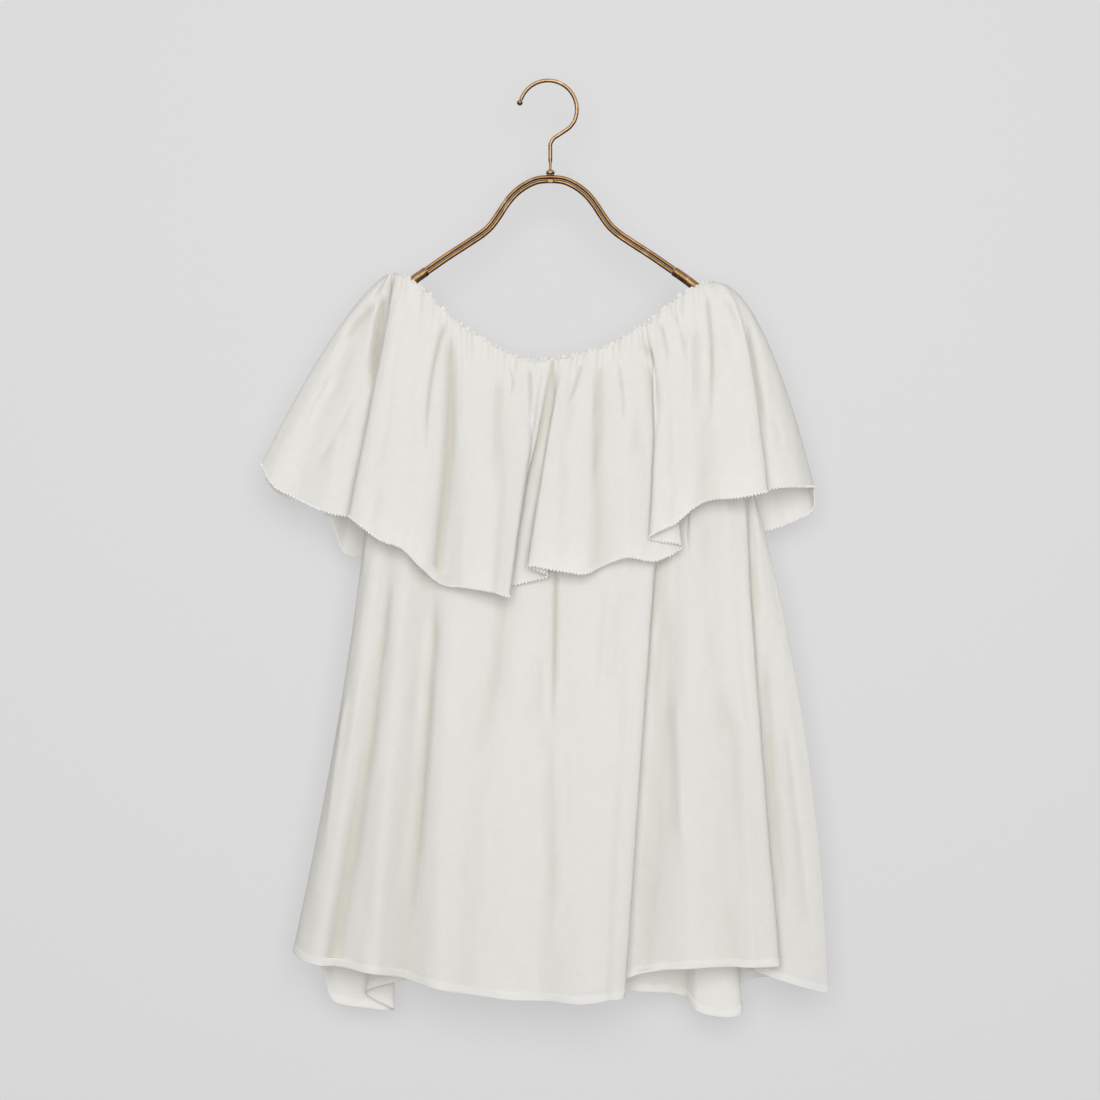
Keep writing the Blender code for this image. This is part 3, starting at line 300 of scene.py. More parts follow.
FLOUNCE_FRONT_CREASES = (
    CreaseRow(-164.5, -211.0, -166.5, -250.0, -177.5, -318.0, 4.8, 9.0),
    CreaseRow(-174.0, -220.0, -190.0, -236.0, -203.0, -266.0, 6.0, 4.0),
    CreaseRow(-214.0, -290.0, -232.0, -325.0, -247.0, -362.0, 2.4, 1.2),
    CreaseRow(-197.0, -318.0, -222.0, -372.0, -238.0, -402.0, 4.0, 1.5),
    CreaseRow(-188.0, -300.0, -204.0, -350.0, -213.0, -402.0, 4.0, 1.2),
    CreaseRow(-101.0, -238.0, -115.0, -315.0, -121.0, -395.0, 3.4, 3.4),
    CreaseRow(-96.0, -246.0, -95.0, -310.0, -106.0, -484.0, 5.6, 4.7),
    CreaseRow(-48.0, -292.0, -48.0, -350.0, -50.0, -425.0, 8.0, 3.6),
    CreaseRow(-38.0, -286.0, -36.5, -300.0, -39.0, -320.0, 1.6, 1.6),
    CreaseRow(-20.0, -284.0, -16.0, -325.0, -15.0, -372.0, 2.6, 2.6),
    CreaseRow(34.0, -280.0, 29.0, -301.0, 20.0, -328.0, 2.4, 2.2),
    CreaseRow(45.0, -298.0, 45.0, -318.0, 43.0, -346.0, 3.0, -1.2),
    CreaseRow(52.0, -282.0, 52.0, -350.0, 48.0, -432.0, 7.0, 2.8),
    CreaseRow(70.0, -280.0, 74.0, -315.0, 72.0, -360.0, 3.5, 1.8),
    CreaseRow(83.0, -340.0, 82.0, -368.0, 79.0, -392.0, 3.0, -1.0),
    CreaseRow(92.0, -262.0, 106.0, -298.0, 102.0, -380.0, 4.0, 4.0),
    CreaseRow(111.0, -240.0, 116.0, -257.0, 120.0, -286.0, 2.6, 1.7),
    CreaseRow(125.0, -229.0, 131.0, -250.0, 135.0, -282.0, 2.6, 1.7),
    CreaseRow(140.0, -244.0, 141.0, -290.0, 140.0, -345.0, 5.0, -2.4),
    CreaseRow(157.0, -210.0, 160.3, -280.0, 159.0, -350.0, 2.6, 3.0),
    CreaseRow(175.0, -214.0, 186.0, -236.0, 197.0, -272.0, 4.0, 2.6),
    CreaseRow(222.0, -325.0, 228.0, -350.0, 233.0, -376.0, 4.0, 1.2),
    CreaseRow(200.0, -236.0, 209.0, -285.0, 221.0, -380.0, 4.5, 3.6),
)

BODY_FRONT_CREASES = (
    CreaseRow(-158.0, -478.0, -185.0, -700.0, -211.0, -872.0, 7.5, 4.0),
    CreaseRow(-112.0, -490.0, -122.0, -640.0, -141.0, -880.0, 6.5, 3.9),
    CreaseRow(-44.0, -500.0, -56.0, -600.0, -70.0, -690.0, 10.0, 4.2),
    CreaseRow(6.4, -470.0, 5.5, -551.0, 3.7, -650.0, 3.0, 3.4),
    CreaseRow(9.0, -640.0, 12.0, -760.0, 6.0, -898.0, 6.0, -1.4),
    CreaseRow(66.0, -500.0, 62.0, -560.0, 56.0, -630.0, 5.0, -1.6),
    CreaseRow(-20.0, -560.0, -14.0, -600.0, -26.0, -650.0, 5.0, -1.4),
    CreaseRow(127.0, -600.0, 128.0, -690.0, 134.0, -800.0, 5.0, -1.6),
    CreaseRow(176.0, -600.0, 186.0, -740.0, 190.0, -850.0, 12.0, 4.0),
    CreaseRow(138.0, -430.0, 138.0, -452.0, 137.5, -472.0, 1.5, 2.4),
    CreaseRow(-200.0, -600.0, -214.0, -700.0, -226.0, -800.0, 4.0, -1.2),
    CreaseRow(224.0, -560.0, 246.0, -720.0, 262.0, -880.0, 6.0, 2.0),
    CreaseRow(216.0, -560.0, 224.0, -703.0, 238.0, -862.0, 9.0, 5.0),
    CreaseRow(122.0, -500.0, 108.0, -700.0, 94.0, -885.0, 13.0, 5.0),
)


def unit(vectors: np.ndarray) -> np.ndarray:
    """The vectors at length one, along the last axis."""
    return vectors / np.maximum(np.linalg.norm(vectors, axis=-1, keepdims=True), 1e-9)


def smoothstep(value: np.ndarray) -> np.ndarray:
    """A soft ramp from 0 to 1."""
    share = np.clip(value, 0.0, 1.0)
    return share * share * (3.0 - 2.0 * share)


def slopes_smooth(knots: np.ndarray, values: np.ndarray) -> np.ndarray:
    """A tangent at each knot that lets neighbouring spans share one curve.

    Args:
        knots: Places of the known values, in rising order.
        values: The values there.

    Returns:
        One tangent for each knot.
    """
    steps = np.diff(knots)
    shape = (-1, *[1] * (values.ndim - 1))
    slopes = np.diff(values, axis=0) / steps.reshape(shape)
    tangents = np.empty_like(values)
    tangents[0], tangents[-1] = slopes[0], slopes[-1]
    before, after = steps[:-1].reshape(shape), steps[1:].reshape(shape)
    tangents[1:-1] = (slopes[:-1] * after + slopes[1:] * before) / (before + after)
    return tangents


def slopes_monotone(knots: np.ndarray, values: np.ndarray) -> np.ndarray:
    """Tangents that never let the curve pass beyond its knots' own values.

    Args:
        knots: Places of the known values, in rising order.
        values: The values there.

    Returns:
        One tangent for each knot.
    """
    slopes = np.diff(values) / np.diff(knots)
    tangents = np.zeros_like(values)
    product = slopes[:-1] * slopes[1:]
    total = slopes[:-1] + slopes[1:]
    np.divide(2 * product, total, out=tangents[1:-1], where=product > 0)
    tangents[0], tangents[-1] = slopes[0], slopes[-1]
    return tangents


def cubic(
    knots: np.ndarray, values: np.ndarray, where: np.ndarray, tangents: np.ndarray
) -> np.ndarray:
    """The Hermite curve through the knots, read at each place.

    Args:
        knots: Places of the known values, in rising order.
        values: The values there, one row for each knot.
        where: Places to read.
        tangents: Slope of the curve at each knot.

    Returns:
        One row of values for each place.
    """
    span = np.clip(np.searchsorted(knots, where, side="right") - 1, 0, len(knots) - 2)
    width = knots[span + 1] - knots[span]
    share = (where - knots[span]) / width
    shape = (-1, *[1] * (values.ndim - 1))
    share, width = share.reshape(shape), width.reshape(shape)
    start = (1 + 2 * share) * (1 - share) ** 2 * values[span]
    end = share**2 * (3 - 2 * share) * values[span + 1]
    leave = share * (1 - share) ** 2 * width * tangents[span]
    arrive = share**2 * (share - 1) * width * tangents[span + 1]
    return start + end + leave + arrive


def smooth_curve(knots: Sequence[float], values: Sequence, where: np.ndarray) -> np.ndarray:
    """A soft curve through the knots."""
    places, known = np.asarray(knots, float), np.asarray(values, float)
    return cubic(places, known, np.asarray(where, float), slopes_smooth(places, known))


def monotone_curve(knots: np.ndarray, values: np.ndarray, where: np.ndarray) -> np.ndarray:
    """A curve through the knots with no overshoot."""
    return cubic(knots, values, where, slopes_monotone(knots, values))


def running_length(points: np.ndarray) -> np.ndarray:
    """Distance along a line of points, or along each line of a stack of them.

    Args:
        points: Points of a line, or a stack of such lines.

    Returns:
        The distance from the start at each point.
    """
    steps = np.linalg.norm(np.diff(points, axis=-2), axis=-1)
    start = np.zeros((*steps.shape[:-1], 1))
    return np.concatenate([start, np.cumsum(steps, axis=-1)], axis=-1)


def along_line(where: np.ndarray, lengths: np.ndarray, table: np.ndarray) -> np.ndarray:
    """The table's three columns read at distances along a line."""
    return np.stack([np.interp(where, lengths, table[:, k]) for k in range(3)], axis=-1)


class NeckRing:
    """Half of the gathered neck, from the left shoulder to the right one."""

    SAMPLES = 721

    def __init__(self, side: Side) -> None:
        """Works out the ring's middle line and its outward and upward directions.

        Args:
            side: Front or back.
        """
        self.side = side.value
        front = side is Side.FRONT
        depth = NECK_FRONT_DEPTH if front else NECK_BACK_DEPTH
        middle = (NECK_LEFT + NECK_RIGHT) / 2
        reach = (NECK_RIGHT - NECK_LEFT) / 2
        turn = np.linspace(0.0, math.pi, self.SAMPLES)
        power = 2.0 / NECK_PLAN_POWER
        x = middle - reach * np.sign(np.cos(turn)) * np.abs(np.cos(turn)) ** power
        y = self.side * (SEAM_GAP / 2 + depth * np.abs(np.sin(turn)) ** power)
        heights = [row.front_z if front else row.back_z for row in NECKLINE]
        z = smooth_curve([row.x for row in NECKLINE], heights, x)
        edge = np.stack([x, y, z], axis=1)
        along = unit(np.gradient(edge, axis=0))
        along[0] = along[-1] = (0.0, 0.0, 0.0)
        along[0, 1], along[-1, 1] = self.side, -self.side
        upright = np.array([0.0, 0.0, 1.0])
        self.up = unit(upright - (along @ upright)[:, None] * along)
        self.out = -self.side * unit(np.cross(along, upright))
        self.middle = edge - self.up * CASING_HEIGHT / 2
        self.run = running_length(self.middle)
        self.edge_x = x
        self.length = float(self.run[-1])

    def at(self, run: np.ndarray) -> tuple[np.ndarray, np.ndarray, np.ndarray]:
        """Casing centre, outward and upward directions at a distance along the ring.

        Args:
            run: Distances along the ring.

        Returns:
            Three tables of one row for each distance.
        """
        middle, out, up = (
            along_line(run, self.run, table) for table in (self.middle, self.out, self.up)
        )
        return middle, unit(out), unit(up)

    def run_at_x(self, x: np.ndarray) -> np.ndarray:
        """Distance along the ring at which its top edge passes x."""
        return np.interp(x, self.edge_x, self.run)


def over_end(ring_y: np.ndarray) -> np.ndarray:
    """1 where the ring turns over a hanger end, 0 along the front and the back."""
    near = np.clip(1.0 - (np.abs(ring_y) / SHOULDER_REACH) ** 2, 0.0, 1.0)
    return np.clip(SHOULDER_STEEPNESS * near, 0.0, 1.0)


def flounce_top(ring: NeckRing, top_x: np.ndarray) -> tuple[np.ndarray, np.ndarray]:
    """Where the flounce hangs: outside the casing, just under the frill along its top.

    Args:
        ring: The half ring it hangs from.
        top_x: Where its columns start.

    Returns:
        The points of its upper edge and the outward directions there.
    """
    middle, out, up = ring.at(ring.run_at_x(top_x))
    outward = LAYER_OFFSET + np.maximum(SHOULDER_OFFSET * over_end(middle[:, 1]), COVER_OFFSET)
    rise = COVER_RISE - CASING_HEIGHT / 2
    return middle + out * outward[:, None] + up * rise, out


def body_top(ring: NeckRing, top_x: np.ndarray) -> tuple[np.ndarray, np.ndarray]:
    """Upper edge of a body panel: under the casing, then down each armhole to the side.

    Args:
        ring: The half ring it hangs from.
        top_x: Where its columns start.

    Returns:
        The points of its upper edge and the outward directions there.
    """
    inner = np.clip(top_x, ARMHOLE_LEFT, ARMHOLE_RIGHT)
    middle, out, up = ring.at(ring.run_at_x(inner))
    points = middle - out * LAYER_OFFSET - up * (CASING_HEIGHT / 2 + SEAM_GAP)
    for start, (end_x, end_z) in ((ARMHOLE_LEFT, UNDERARM_LEFT), (ARMHOLE_RIGHT, UNDERARM_RIGHT)):
        share = np.clip((top_x - start) / (end_x - start), 0.0, 1.0)
        scoop = share > 0
        from_x, from_y, from_z = points[scoop].T
        down = share[scoop]
        rounded = np.sqrt(np.clip(1.0 - down**2, 0.0, 1.0))
        seam_y = ring.side * SEAM_GAP / 2
        points[scoop, 0] = from_x + (end_x - from_x) * down
        points[scoop, 1] = seam_y + (from_y - seam_y) * rounded
        points[scoop, 2] = from_z + (end_z - from_z) * down**ARMHOLE_CURVE
    gathered = (top_x >= ARMHOLE_LEFT) & (top_x <= ARMHOLE_RIGHT)
    return points, out * gathered[:, None]


@dataclass
class GatherWaves:
    """One train of uneven gathers along the neck elastic.

    Args:
        length: Length of the elastic, in millimetres.
        pitch: Mean distance from one gather to the next.
        depth: Height of the tallest gather.
        short: Distance below the casing at which every gather begins to fade.
        long: What the longest gather adds to that distance.
        seed: Fixes the uneven spacing and depth.
    """

    length: float
    pitch: float
    depth: float
    short: float
    long: float
    seed: int
    centres: np.ndarray = field(init=False)
    heights: np.ndarray = field(init=False)
    reaches: np.ndarray = field(init=False)

    UNEVEN: float = 0.34
    RARE: float = 4.0
    LOWEST: float = 0.25
    FADE_POWER: float = 1.4

    def __post_init__(self) -> None:
        """Spaces the gathers and gives each its depth and reach."""
        count = round(self.length / self.pitch)
        rng = np.random.default_rng(self.seed)
        places = np.arange(count + 1) + rng.uniform(-self.UNEVEN, self.UNEVEN, count + 1)
        places[0], places[-1] = 0.0, count
        self.centres = places * self.length / count
        self.heights = rng.uniform(self.LOWEST, 1.0, count + 1)
        self.reaches = self.short + self.long * rng.uniform(0.0, 1.0, count + 1) ** self.RARE

    def wave(self, run: np.ndarray) -> np.ndarray:
        """Height of the gathers at a distance along the elastic, in millimetres."""
        phase = np.interp(run, self.centres, np.arange(len(self.centres)))
        return self.depth * np.cos(2 * math.pi * phase) * np.interp(run, self.centres, self.heights)

    def lift(self, run: np.ndarray, below: np.ndarray) -> np.ndarray:
        """Height of the gathers at a distance below the casing."""
        reach = np.interp(run, self.centres, self.reaches)
        return self.wave(run) * np.exp(-((below / reach) ** self.FADE_POWER))


class Panel:
    """A hanging panel whose folds are the rows of a table.

    Its columns are spaced by the length of its top, by that of its edge and by the edge's turns.
    """

    NECK_SHARE = 0.5
    FINE = 2401
    COLUMNS_BY_TOP = 0.3
    COLUMNS_BY_EDGE = 0.45
    COLUMNS_BY_TURN = 0.25

    def __init__(self, side: Side, rows: Sequence[FoldRow], top_line: Callable) -> None:
        """Fits the curves that join the folds.

        Args:
            side: Front or back.
            rows: The folds from left to right.
            top_line: Gives the panel's upper edge for a ring and a place across it.
        """
        self.side = side.value
        self.ring = NeckRing(side)
        self.top_line = top_line
        self.top_x = np.array([row.top_x for row in rows])
        tops, _ = top_line(self.ring, self.top_x)
        edges = np.array([(row.edge_x, row.edge_y, row.edge_z) for row in rows])
        edges[:, 1] += self.side * SEAM_GAP / 2
        self.fall = edges - tops
        self.powers = np.array([(row.flare, row.deepen, row.bow) for row in rows])
        at_top = np.linalg.norm(np.diff(tops, axis=0), axis=1)
        at_edge = np.linalg.norm(np.diff(edges, axis=0), axis=1)
        share = self.NECK_SHARE * at_top / at_top.sum()
        share += (1 - self.NECK_SHARE) * at_edge / at_edge.sum()
        self.knots = np.concatenate([[0.0], np.cumsum(share)])
        self.fall_slopes = self.rounded_slopes(edges)
        self.edge_z = edges[:, 2]
        self.edge_slopes = slopes_smooth(self.knots, self.edge_z)

    def rounded_slopes(self, edges: np.ndarray) -> np.ndarray:
        """Tangents of the fall, wide enough where the cloth turns back for a rounded fold.

        Args:
            edges: Lower end of each fold.

        Returns:
            One tangent for each fold.
        """
        slopes = slopes_smooth(self.knots, self.fall)
        drift = slopes_monotone(self.knots, self.top_x)
        spans = np.diff(self.knots)
        for k in range(1, len(edges) - 1):
            before, after = edges[k] - edges[k - 1], edges[k + 1] - edges[k]
            if before[0] * after[0] >= 0:
                continue
            widths = ((before[0], spans[k - 1]), (after[0], spans[k]))
            needed = max(math.sqrt(6 * FOLD_RADIUS * abs(width)) / span for width, span in widths)
            slopes[k, 0] = -drift[k]
            slopes[k, 1] = math.copysign(needed, before[1] + after[1])
        return slopes

    def fall_at(self, across: np.ndarray, top: np.ndarray) -> np.ndarray:
        """How far the cloth falls at each place, to an edge that drops evenly from fold to fold.

        Args:
            across: Places across the panel.
            top: Points of its upper edge there.

        Returns:
            The way from each of those points to the lower edge.
        """
        fall = cubic(self.knots, self.fall, across, self.fall_slopes)
        fall[:, 2] = cubic(self.knots, self.edge_z, across, self.edge_slopes) - top[:, 2]
        return fall

    def columns_at(self, columns: int) -> np.ndarray:
        """Places across the panel, closer together where the edge turns round a fold.

        Args:
            columns: Strips across the panel.

        Returns:
            One place for each column of points.
        """
        fine = np.linspace(0.0, self.knots[-1], self.FINE)
        top, _ = self.top_line(self.ring, monotone_curve(self.knots, self.top_x, fine))
        edge = top + self.fall_at(fine, top)
        heading = np.unwrap(np.arctan2(*np.gradient(edge[:, :2], axis=0).T))
        share = np.zeros(self.FINE - 1)
        for part, steps in (
            (self.COLUMNS_BY_TOP, np.linalg.norm(np.diff(top, axis=0), axis=1)),
            (self.COLUMNS_BY_EDGE, np.linalg.norm(np.diff(edge, axis=0), axis=1)),
            (self.COLUMNS_BY_TURN, np.abs(np.diff(heading))),
        ):
            share += part * steps / steps.sum()
        measure = np.concatenate([[0.0], np.cumsum(share)])
        return np.interp(np.linspace(0.0, measure[-1], columns + 1), measure, fine)

    def grid(
        self, columns: int, levels: np.ndarray, hem: float = 0.0
    ) -> tuple[np.ndarray, np.ndarray]:
        """Points down and across the panel, and each column's distance along the neck.

        Args:
            columns: Strips across the panel.
            levels: Shares of the drop, one for each row; past 1 they divide the hem.
            hem: Depth of the hem band that the levels from 1 to 2 cover, in millimetres.

        Returns:
            Points as (rows, columns + 1, 3), and the run of each column's top.
        """
        across = self.columns_at(columns)
        top_x = monotone_curve(self.knots, self.top_x, across)
        top, _ = self.top_line(self.ring, top_x)
        fall = self.fall_at(across, top)
        powers = (monotone_curve(self.knots, power, across) for power in self.powers.T)
        flare, deepen, bow = powers
        down = np.repeat(levels[:, None], columns + 1, axis=1)
        if hem:
            band = hem / np.linalg.norm(fall, axis=1)
            down = np.where(down <= 1.0, down * (1.0 - band), 1.0 - band * (2.0 - down))
        points = np.empty((len(levels), columns + 1, 3))
        points[..., 0] = top[:, 0] + fall[:, 0] * down**flare + bow * 4 * down * (1.0 - down)
        points[..., 1] = top[:, 1] + fall[:, 1] * down**deepen
        points[..., 2] = top[:, 2] + fall[:, 2] * down
        return points, self.ring.run_at_x(top_x)


def outward_normals(points: np.ndarray, side: int) -> np.ndarray:
    """The outward direction at each point of a panel's grid.

    Args:
        points: Grid of the panel in millimetres.
        side: Way the outer face points along Y.

    Returns:
        One direction for each point.
    """
    across = np.gradient(points, axis=1)
    down = np.gradient(points, axis=0)
    return side * unit(np.cross(across, down))


def hollowness(points: np.ndarray, side: int) -> np.ndarray:
    """How deep each point of a panel lies in the cloth's hollows, as seen from outside; this is the
    mask of the painted crease shade.

    Args:
        points: Grid of the panel, its rows running across the cloth.
        side: Way the outer face points along Y.

    Returns:
        0 on open cloth, towards 1 in a sharp crease and below 0 on a ridge.
    """
    normals = outward_normals(points, side)
    lengths = running_length(points)
    total = np.zeros(points.shape[:2])
    for reach, share in HOLLOW_REACHES:
        for row, line in enumerate(points):
            along = lengths[row]
            around = np.zeros_like(line)
            for way in (-reach, reach):
                around += along_line(along + way, along, line) / 2
            total[row] += share * np.sum((around - line) * normals[row], axis=-1) / reach
    return total


@dataclass
class Relief:
    """Creases, gathers and light rumpling that lie on a panel's large folds.

    Args:
        side: Front or back.
        creases: Creases placed one by one.
        seed: Fixes the rumpling.
        rumple: Height of the light rumpling, in millimetres.
    """

    side: Side
    creases: Sequence[CreaseRow]
    seed: int
    rumple: float

    NEAR: float = 2.0
    AT_EDGE: float = 16.0
    FADE_IN: float = 0.18
    FADE_OUT: float = 0.45
    WAVES: int = 26
    PITCHES: tuple[float, float] = (16.0, 70.0)
    MIDDLE_PITCH: float = 40.0
    LEAN: float = 0.22
    SWELLS: tuple[float, float] = (0.01, 0.035)
    SWELL_TURN: float = 6.3
    STILL_COLUMNS: float = 8.0

    def find(self, points: np.ndarray, x: float, z: float) -> tuple[int, int]:
        """Row and column of the outermost cloth at one place, seen from outside.

        Args:
            points: Grid of the panel in millimetres.
            x: Place across.
            z: Place in height.

        Returns:
            The row and the column.
        """
        away = (points[..., 0] - x) ** 2 + (points[..., 2] - z) ** 2
        near = away <= away.min() + self.NEAR**2
        outward = np.where(near, self.side.value * points[..., 1], -np.inf)
        row, column = np.unravel_index(int(np.argmax(outward)), away.shape)
        return int(row), int(column)

    def add_crease(self, points: np.ndarray, crease: CreaseRow, depth: np.ndarray) -> None:
        """Presses one crease into the depth map.

        Args:
            points: Grid of the panel in millimetres.
            crease: The crease.
            depth: Depth at each point, added to here.
        """
        ends = [
            self.find(points, crease.top_x, crease.top_z),
            self.find(points, crease.mid_x, crease.mid_z),
            self.find(points, crease.low_x, crease.low_z),
        ]
        top, middle, low = sorted(ends)
        rows = np.array([top[0], middle[0], low[0]], float)
        if rows[1] <= rows[0] or rows[2] <= rows[1]:
            return
        reached = np.arange(top[0], low[0] + 1)
        centre = smooth_curve(rows, [top[1], middle[1], low[1]], reached)
        share = (reached - rows[0]) / (rows[2] - rows[0])
        fade = np.ones(len(share))
        if np.linalg.norm(points[top] - points[0, top[1]]) > self.NEAR:
            fade *= smoothstep(share / self.FADE_IN)
        if np.linalg.norm(points[low] - points[-1, low[1]]) > self.AT_EDGE:
            fade *= smoothstep((1.0 - share) / self.FADE_OUT)
        lengths = running_length(points[reached])
        columns = np.arange(points.shape[1])
        for k, row in enumerate(reached):
            here = np.interp(centre[k], columns, lengths[k])
            profile = np.exp(-(((lengths[k] - here) / crease.width) ** 2))
            depth[row] += crease.depth * fade[k] * profile

    def rumpling(self, points: np.ndarray) -> np.ndarray:
        """A few long, low waves that run mostly downwards.

        Args:
            points: Grid of the panel in millimetres.

        Returns:
            Its height at each point.
        """
        rng = np.random.default_rng(self.seed)
        across = running_length(points[-1:])[0][None, :]
        down = np.linspace(0.0, 1.0, len(points))[:, None] * -points[..., 2].min()
        total = np.zeros(points.shape[:2])
        for _ in range(self.WAVES):
            pitch = rng.uniform(*self.PITCHES)
            lean = rng.normal(0.0, self.LEAN)
            turn = rng.uniform(0.0, 2 * math.pi)
            rate, start = rng.uniform(*self.SWELLS), rng.uniform(0.0, self.SWELL_TURN)
            swell = 0.5 + 0.5 * np.sin(down * rate + start)
            wave = np.sin(2 * math.pi * (across + lean * down) / pitch + turn)
            total += wave * swell * math.sqrt(pitch / self.MIDDLE_PITCH)
        return total * self.rumple / math.sqrt(self.WAVES)

    def pressed(self, points: np.ndarray) -> np.ndarray:
        """The panel's points with creases and rumpling added.

        Args:
            points: Grid of the panel in millimetres.

        Returns:
            The grid with its relief.
        """
        depth = np.zeros(points.shape[:2])
        for crease in self.creases:
            self.add_crease(points, crease, depth)
        lift = self.rumpling(points) - depth
        column = np.arange(points.shape[1])
        lift *= smoothstep(np.minimum(column, column[::-1]) / self.STILL_COLUMNS)[None, :]
        return points + outward_normals(points, self.side.value) * lift[..., None]


@dataclass
class GroupBuilder:
    """A short way to write a node tree.

    Args:
        tree: The tree that the nodes go into.
    """

    tree: bpy.types.NodeTree

    def fill(self, socket: bpy.types.NodeSocket, value: object) -> None:
        """Links the socket to another one, or sets it to a plain value.

        Args:
            socket: Input to fill.
            value: Another socket, or a plain value.
        """
        if isinstance(value, bpy.types.NodeSocket):
            self.tree.links.new(value, socket)
        else:
            socket.default_value = value

    def set(self, node: bpy.types.Node, *ordered: object, **named: object) -> bpy.types.Node:
        """Fills a node's inputs, in order or by name with underscores for spaces.

        Args:
            node: The node.
            ordered: Its first inputs, in order.
            named: Inputs by name.

        Returns:
            The same node.
        """
        for socket, value in zip(node.inputs, ordered):
            self.fill(socket, value)
        for name, value in named.items():
            self.fill(node.inputs[name.replace("_", " ")], value)
        return node

    def node(self, kind: str, *ordered: object, **values: object) -> bpy.types.Node:
        """A new node.

        Args:
            kind: Kind of node.
            ordered: Its first inputs, in order.
            values: Inputs by name when the name starts with a capital, properties otherwise.

        Returns:
            The node.
        """
        made = self.tree.nodes.new(kind)
        inputs = {}
        for name, value in values.items():
            if name[0].isupper():
                inputs[name] = value
            else:
                setattr(made, name, value)
        return self.set(made, *ordered, **inputs)

    def out(self, kind: str, *ordered: object, **values: object) -> bpy.types.NodeSocket:
        """The first output of a new node."""
        return self.node(kind, *ordered, **values).outputs[0]

    def math(self, operation: str, first: object, second: object) -> bpy.types.NodeSocket:
        """One step of arithmetic."""
        return self.out("ShaderNodeMath", first, second, operation=operation)

    def weighted(self, *parts: tuple[object, float]) -> bpy.types.NodeSocket:
        """The sum of two values, each times its share."""
        return self.math("ADD", *(self.math("MULTIPLY", value, share) for value, share in parts))

    def ramp(self, value: object, low: object, high: object) -> bpy.types.NodeSocket:
        """0 at low, 1 at high."""
        return self.out("ShaderNodeMapRange", value, low, high)

    def noise(
        self, place: object, scale: object, detail: float, rough: float
    ) -> bpy.types.NodeSocket:
        """Soft noise at a place."""
        kind = "ShaderNodeTexNoise"
        return self.out(kind, Vector=place, Scale=scale, Detail=detail, Roughness=rough)

    def bump(self, height: object, strength: float, depth: float) -> bpy.types.NodeSocket:
        """A normal for a fine relief."""
        return self.out("ShaderNodeBump", Height=height, Strength=strength, Distance=depth)

    def mix(self, factor: object, first: object, second: object) -> bpy.types.NodeSocket:
        """A colour between two others, each a socket or plain red, green and blue.

        Args:
            factor: Share of the second.
            first: A colour.
            second: A colour.

        Returns:
            The mixed colour.
        """
        made = self.node("ShaderNodeMix", data_type="RGBA")
        self.fill(made.inputs[0], factor)
        for index, value in ((6, first), (7, second)):
            self.fill(made.inputs[index], (*value, 1.0) if isinstance(value, tuple) else value)
        return made.outputs[2]


FLOAT, VECTOR, GEOMETRY = "NodeSocketFloat", "NodeSocketVector", "NodeSocketGeometry"
SOCKET_KINDS = {float: FLOAT, int: "NodeSocketInt", tuple: VECTOR}


class NodeGroup:
    """A node group with named inputs and outputs, ready to be filled."""

    KIND = "ShaderNodeTree"

    def __init__(self, name: str, inputs: dict[str, object], outputs: dict[str, str]) -> None:
        """Starts the group.

        Args:
            name: Name of the group.
            inputs: The default for each input name, or its socket kind.
            outputs: Socket kind for each output name.
        """
        self.tree = bpy.data.node_groups.new(name, self.KIND)
        for label, value in inputs.items():
            kind = value if isinstance(value, str) else SOCKET_KINDS[type(value)]
            socket = self.tree.interface.new_socket(label, in_out="INPUT", socket_type=kind)
            if kind != value:
                socket.default_value = value
        for label, kind in outputs.items():
            self.tree.interface.new_socket(label, in_out="OUTPUT", socket_type=kind)
        self.make = GroupBuilder(self.tree)
        self.given = self.make.node("NodeGroupInput").outputs
        self.result = self.make.node("NodeGroupOutput")


def slub_weave_group() -> bpy.types.NodeTree:
    """Plain weave with uneven threads: a shade and a height for a place on the cloth.

    Returns:
        The group.
    """
    long_share, cross_share, weave_share = 0.6, 0.4, 0.35
    cross_shift = (7.3, 3.1, 5.7)
    group = NodeGroup(
        "slub weave",
        {
            "Vector": VECTOR,
            "Threads": 520.0,
            "Slub Length": 75.0,
            "Slub Height": 620.0,
            "Slub Depth": 2.2,
        },
        {"Shade": FLOAT, "Height": FLOAT},
    )
    make, given = group.make, group.given
    threads = []
    for direction in ("X", "Y"):
        wave = make.node("ShaderNodeTexWave", wave_type="BANDS", bands_direction=direction)
        make.set(wave, given["Vector"], given["Threads"], Distortion=0.6, Detail=1.0)
        threads.append(wave.outputs["Fac"])
    slubs = []
    length, height = given["Slub Length"], given["Slub Height"]
    for seed, (first, second) in enumerate(((length, height), (height, length))):
        scale = make.out("ShaderNodeCombineXYZ", first, second)
        shift = tuple(seed * part for part in cross_shift)
        stretched = make.out("ShaderNodeVectorMath", given["Vector"], scale, operation="MULTIPLY")
        moved = make.out("ShaderNodeVectorMath", stretched, shift, operation="ADD")
        slubs.append(make.noise(moved, 1.0, 2.0, 0.6))
    both = make.weighted((slubs[0], long_share), (slubs[1], cross_share))
    lifted = make.math("MULTIPLY", make.math("SUBTRACT", both, 0.5), given["Slub Depth"])
    weave = make.math("MULTIPLY", *threads)
    relief = make.weighted((weave, weave_share), (both, 1.0 - weave_share))
    make.set(group.result, Shade=make.math("ADD", 0.5, lifted), Height=relief)
    return group.tree


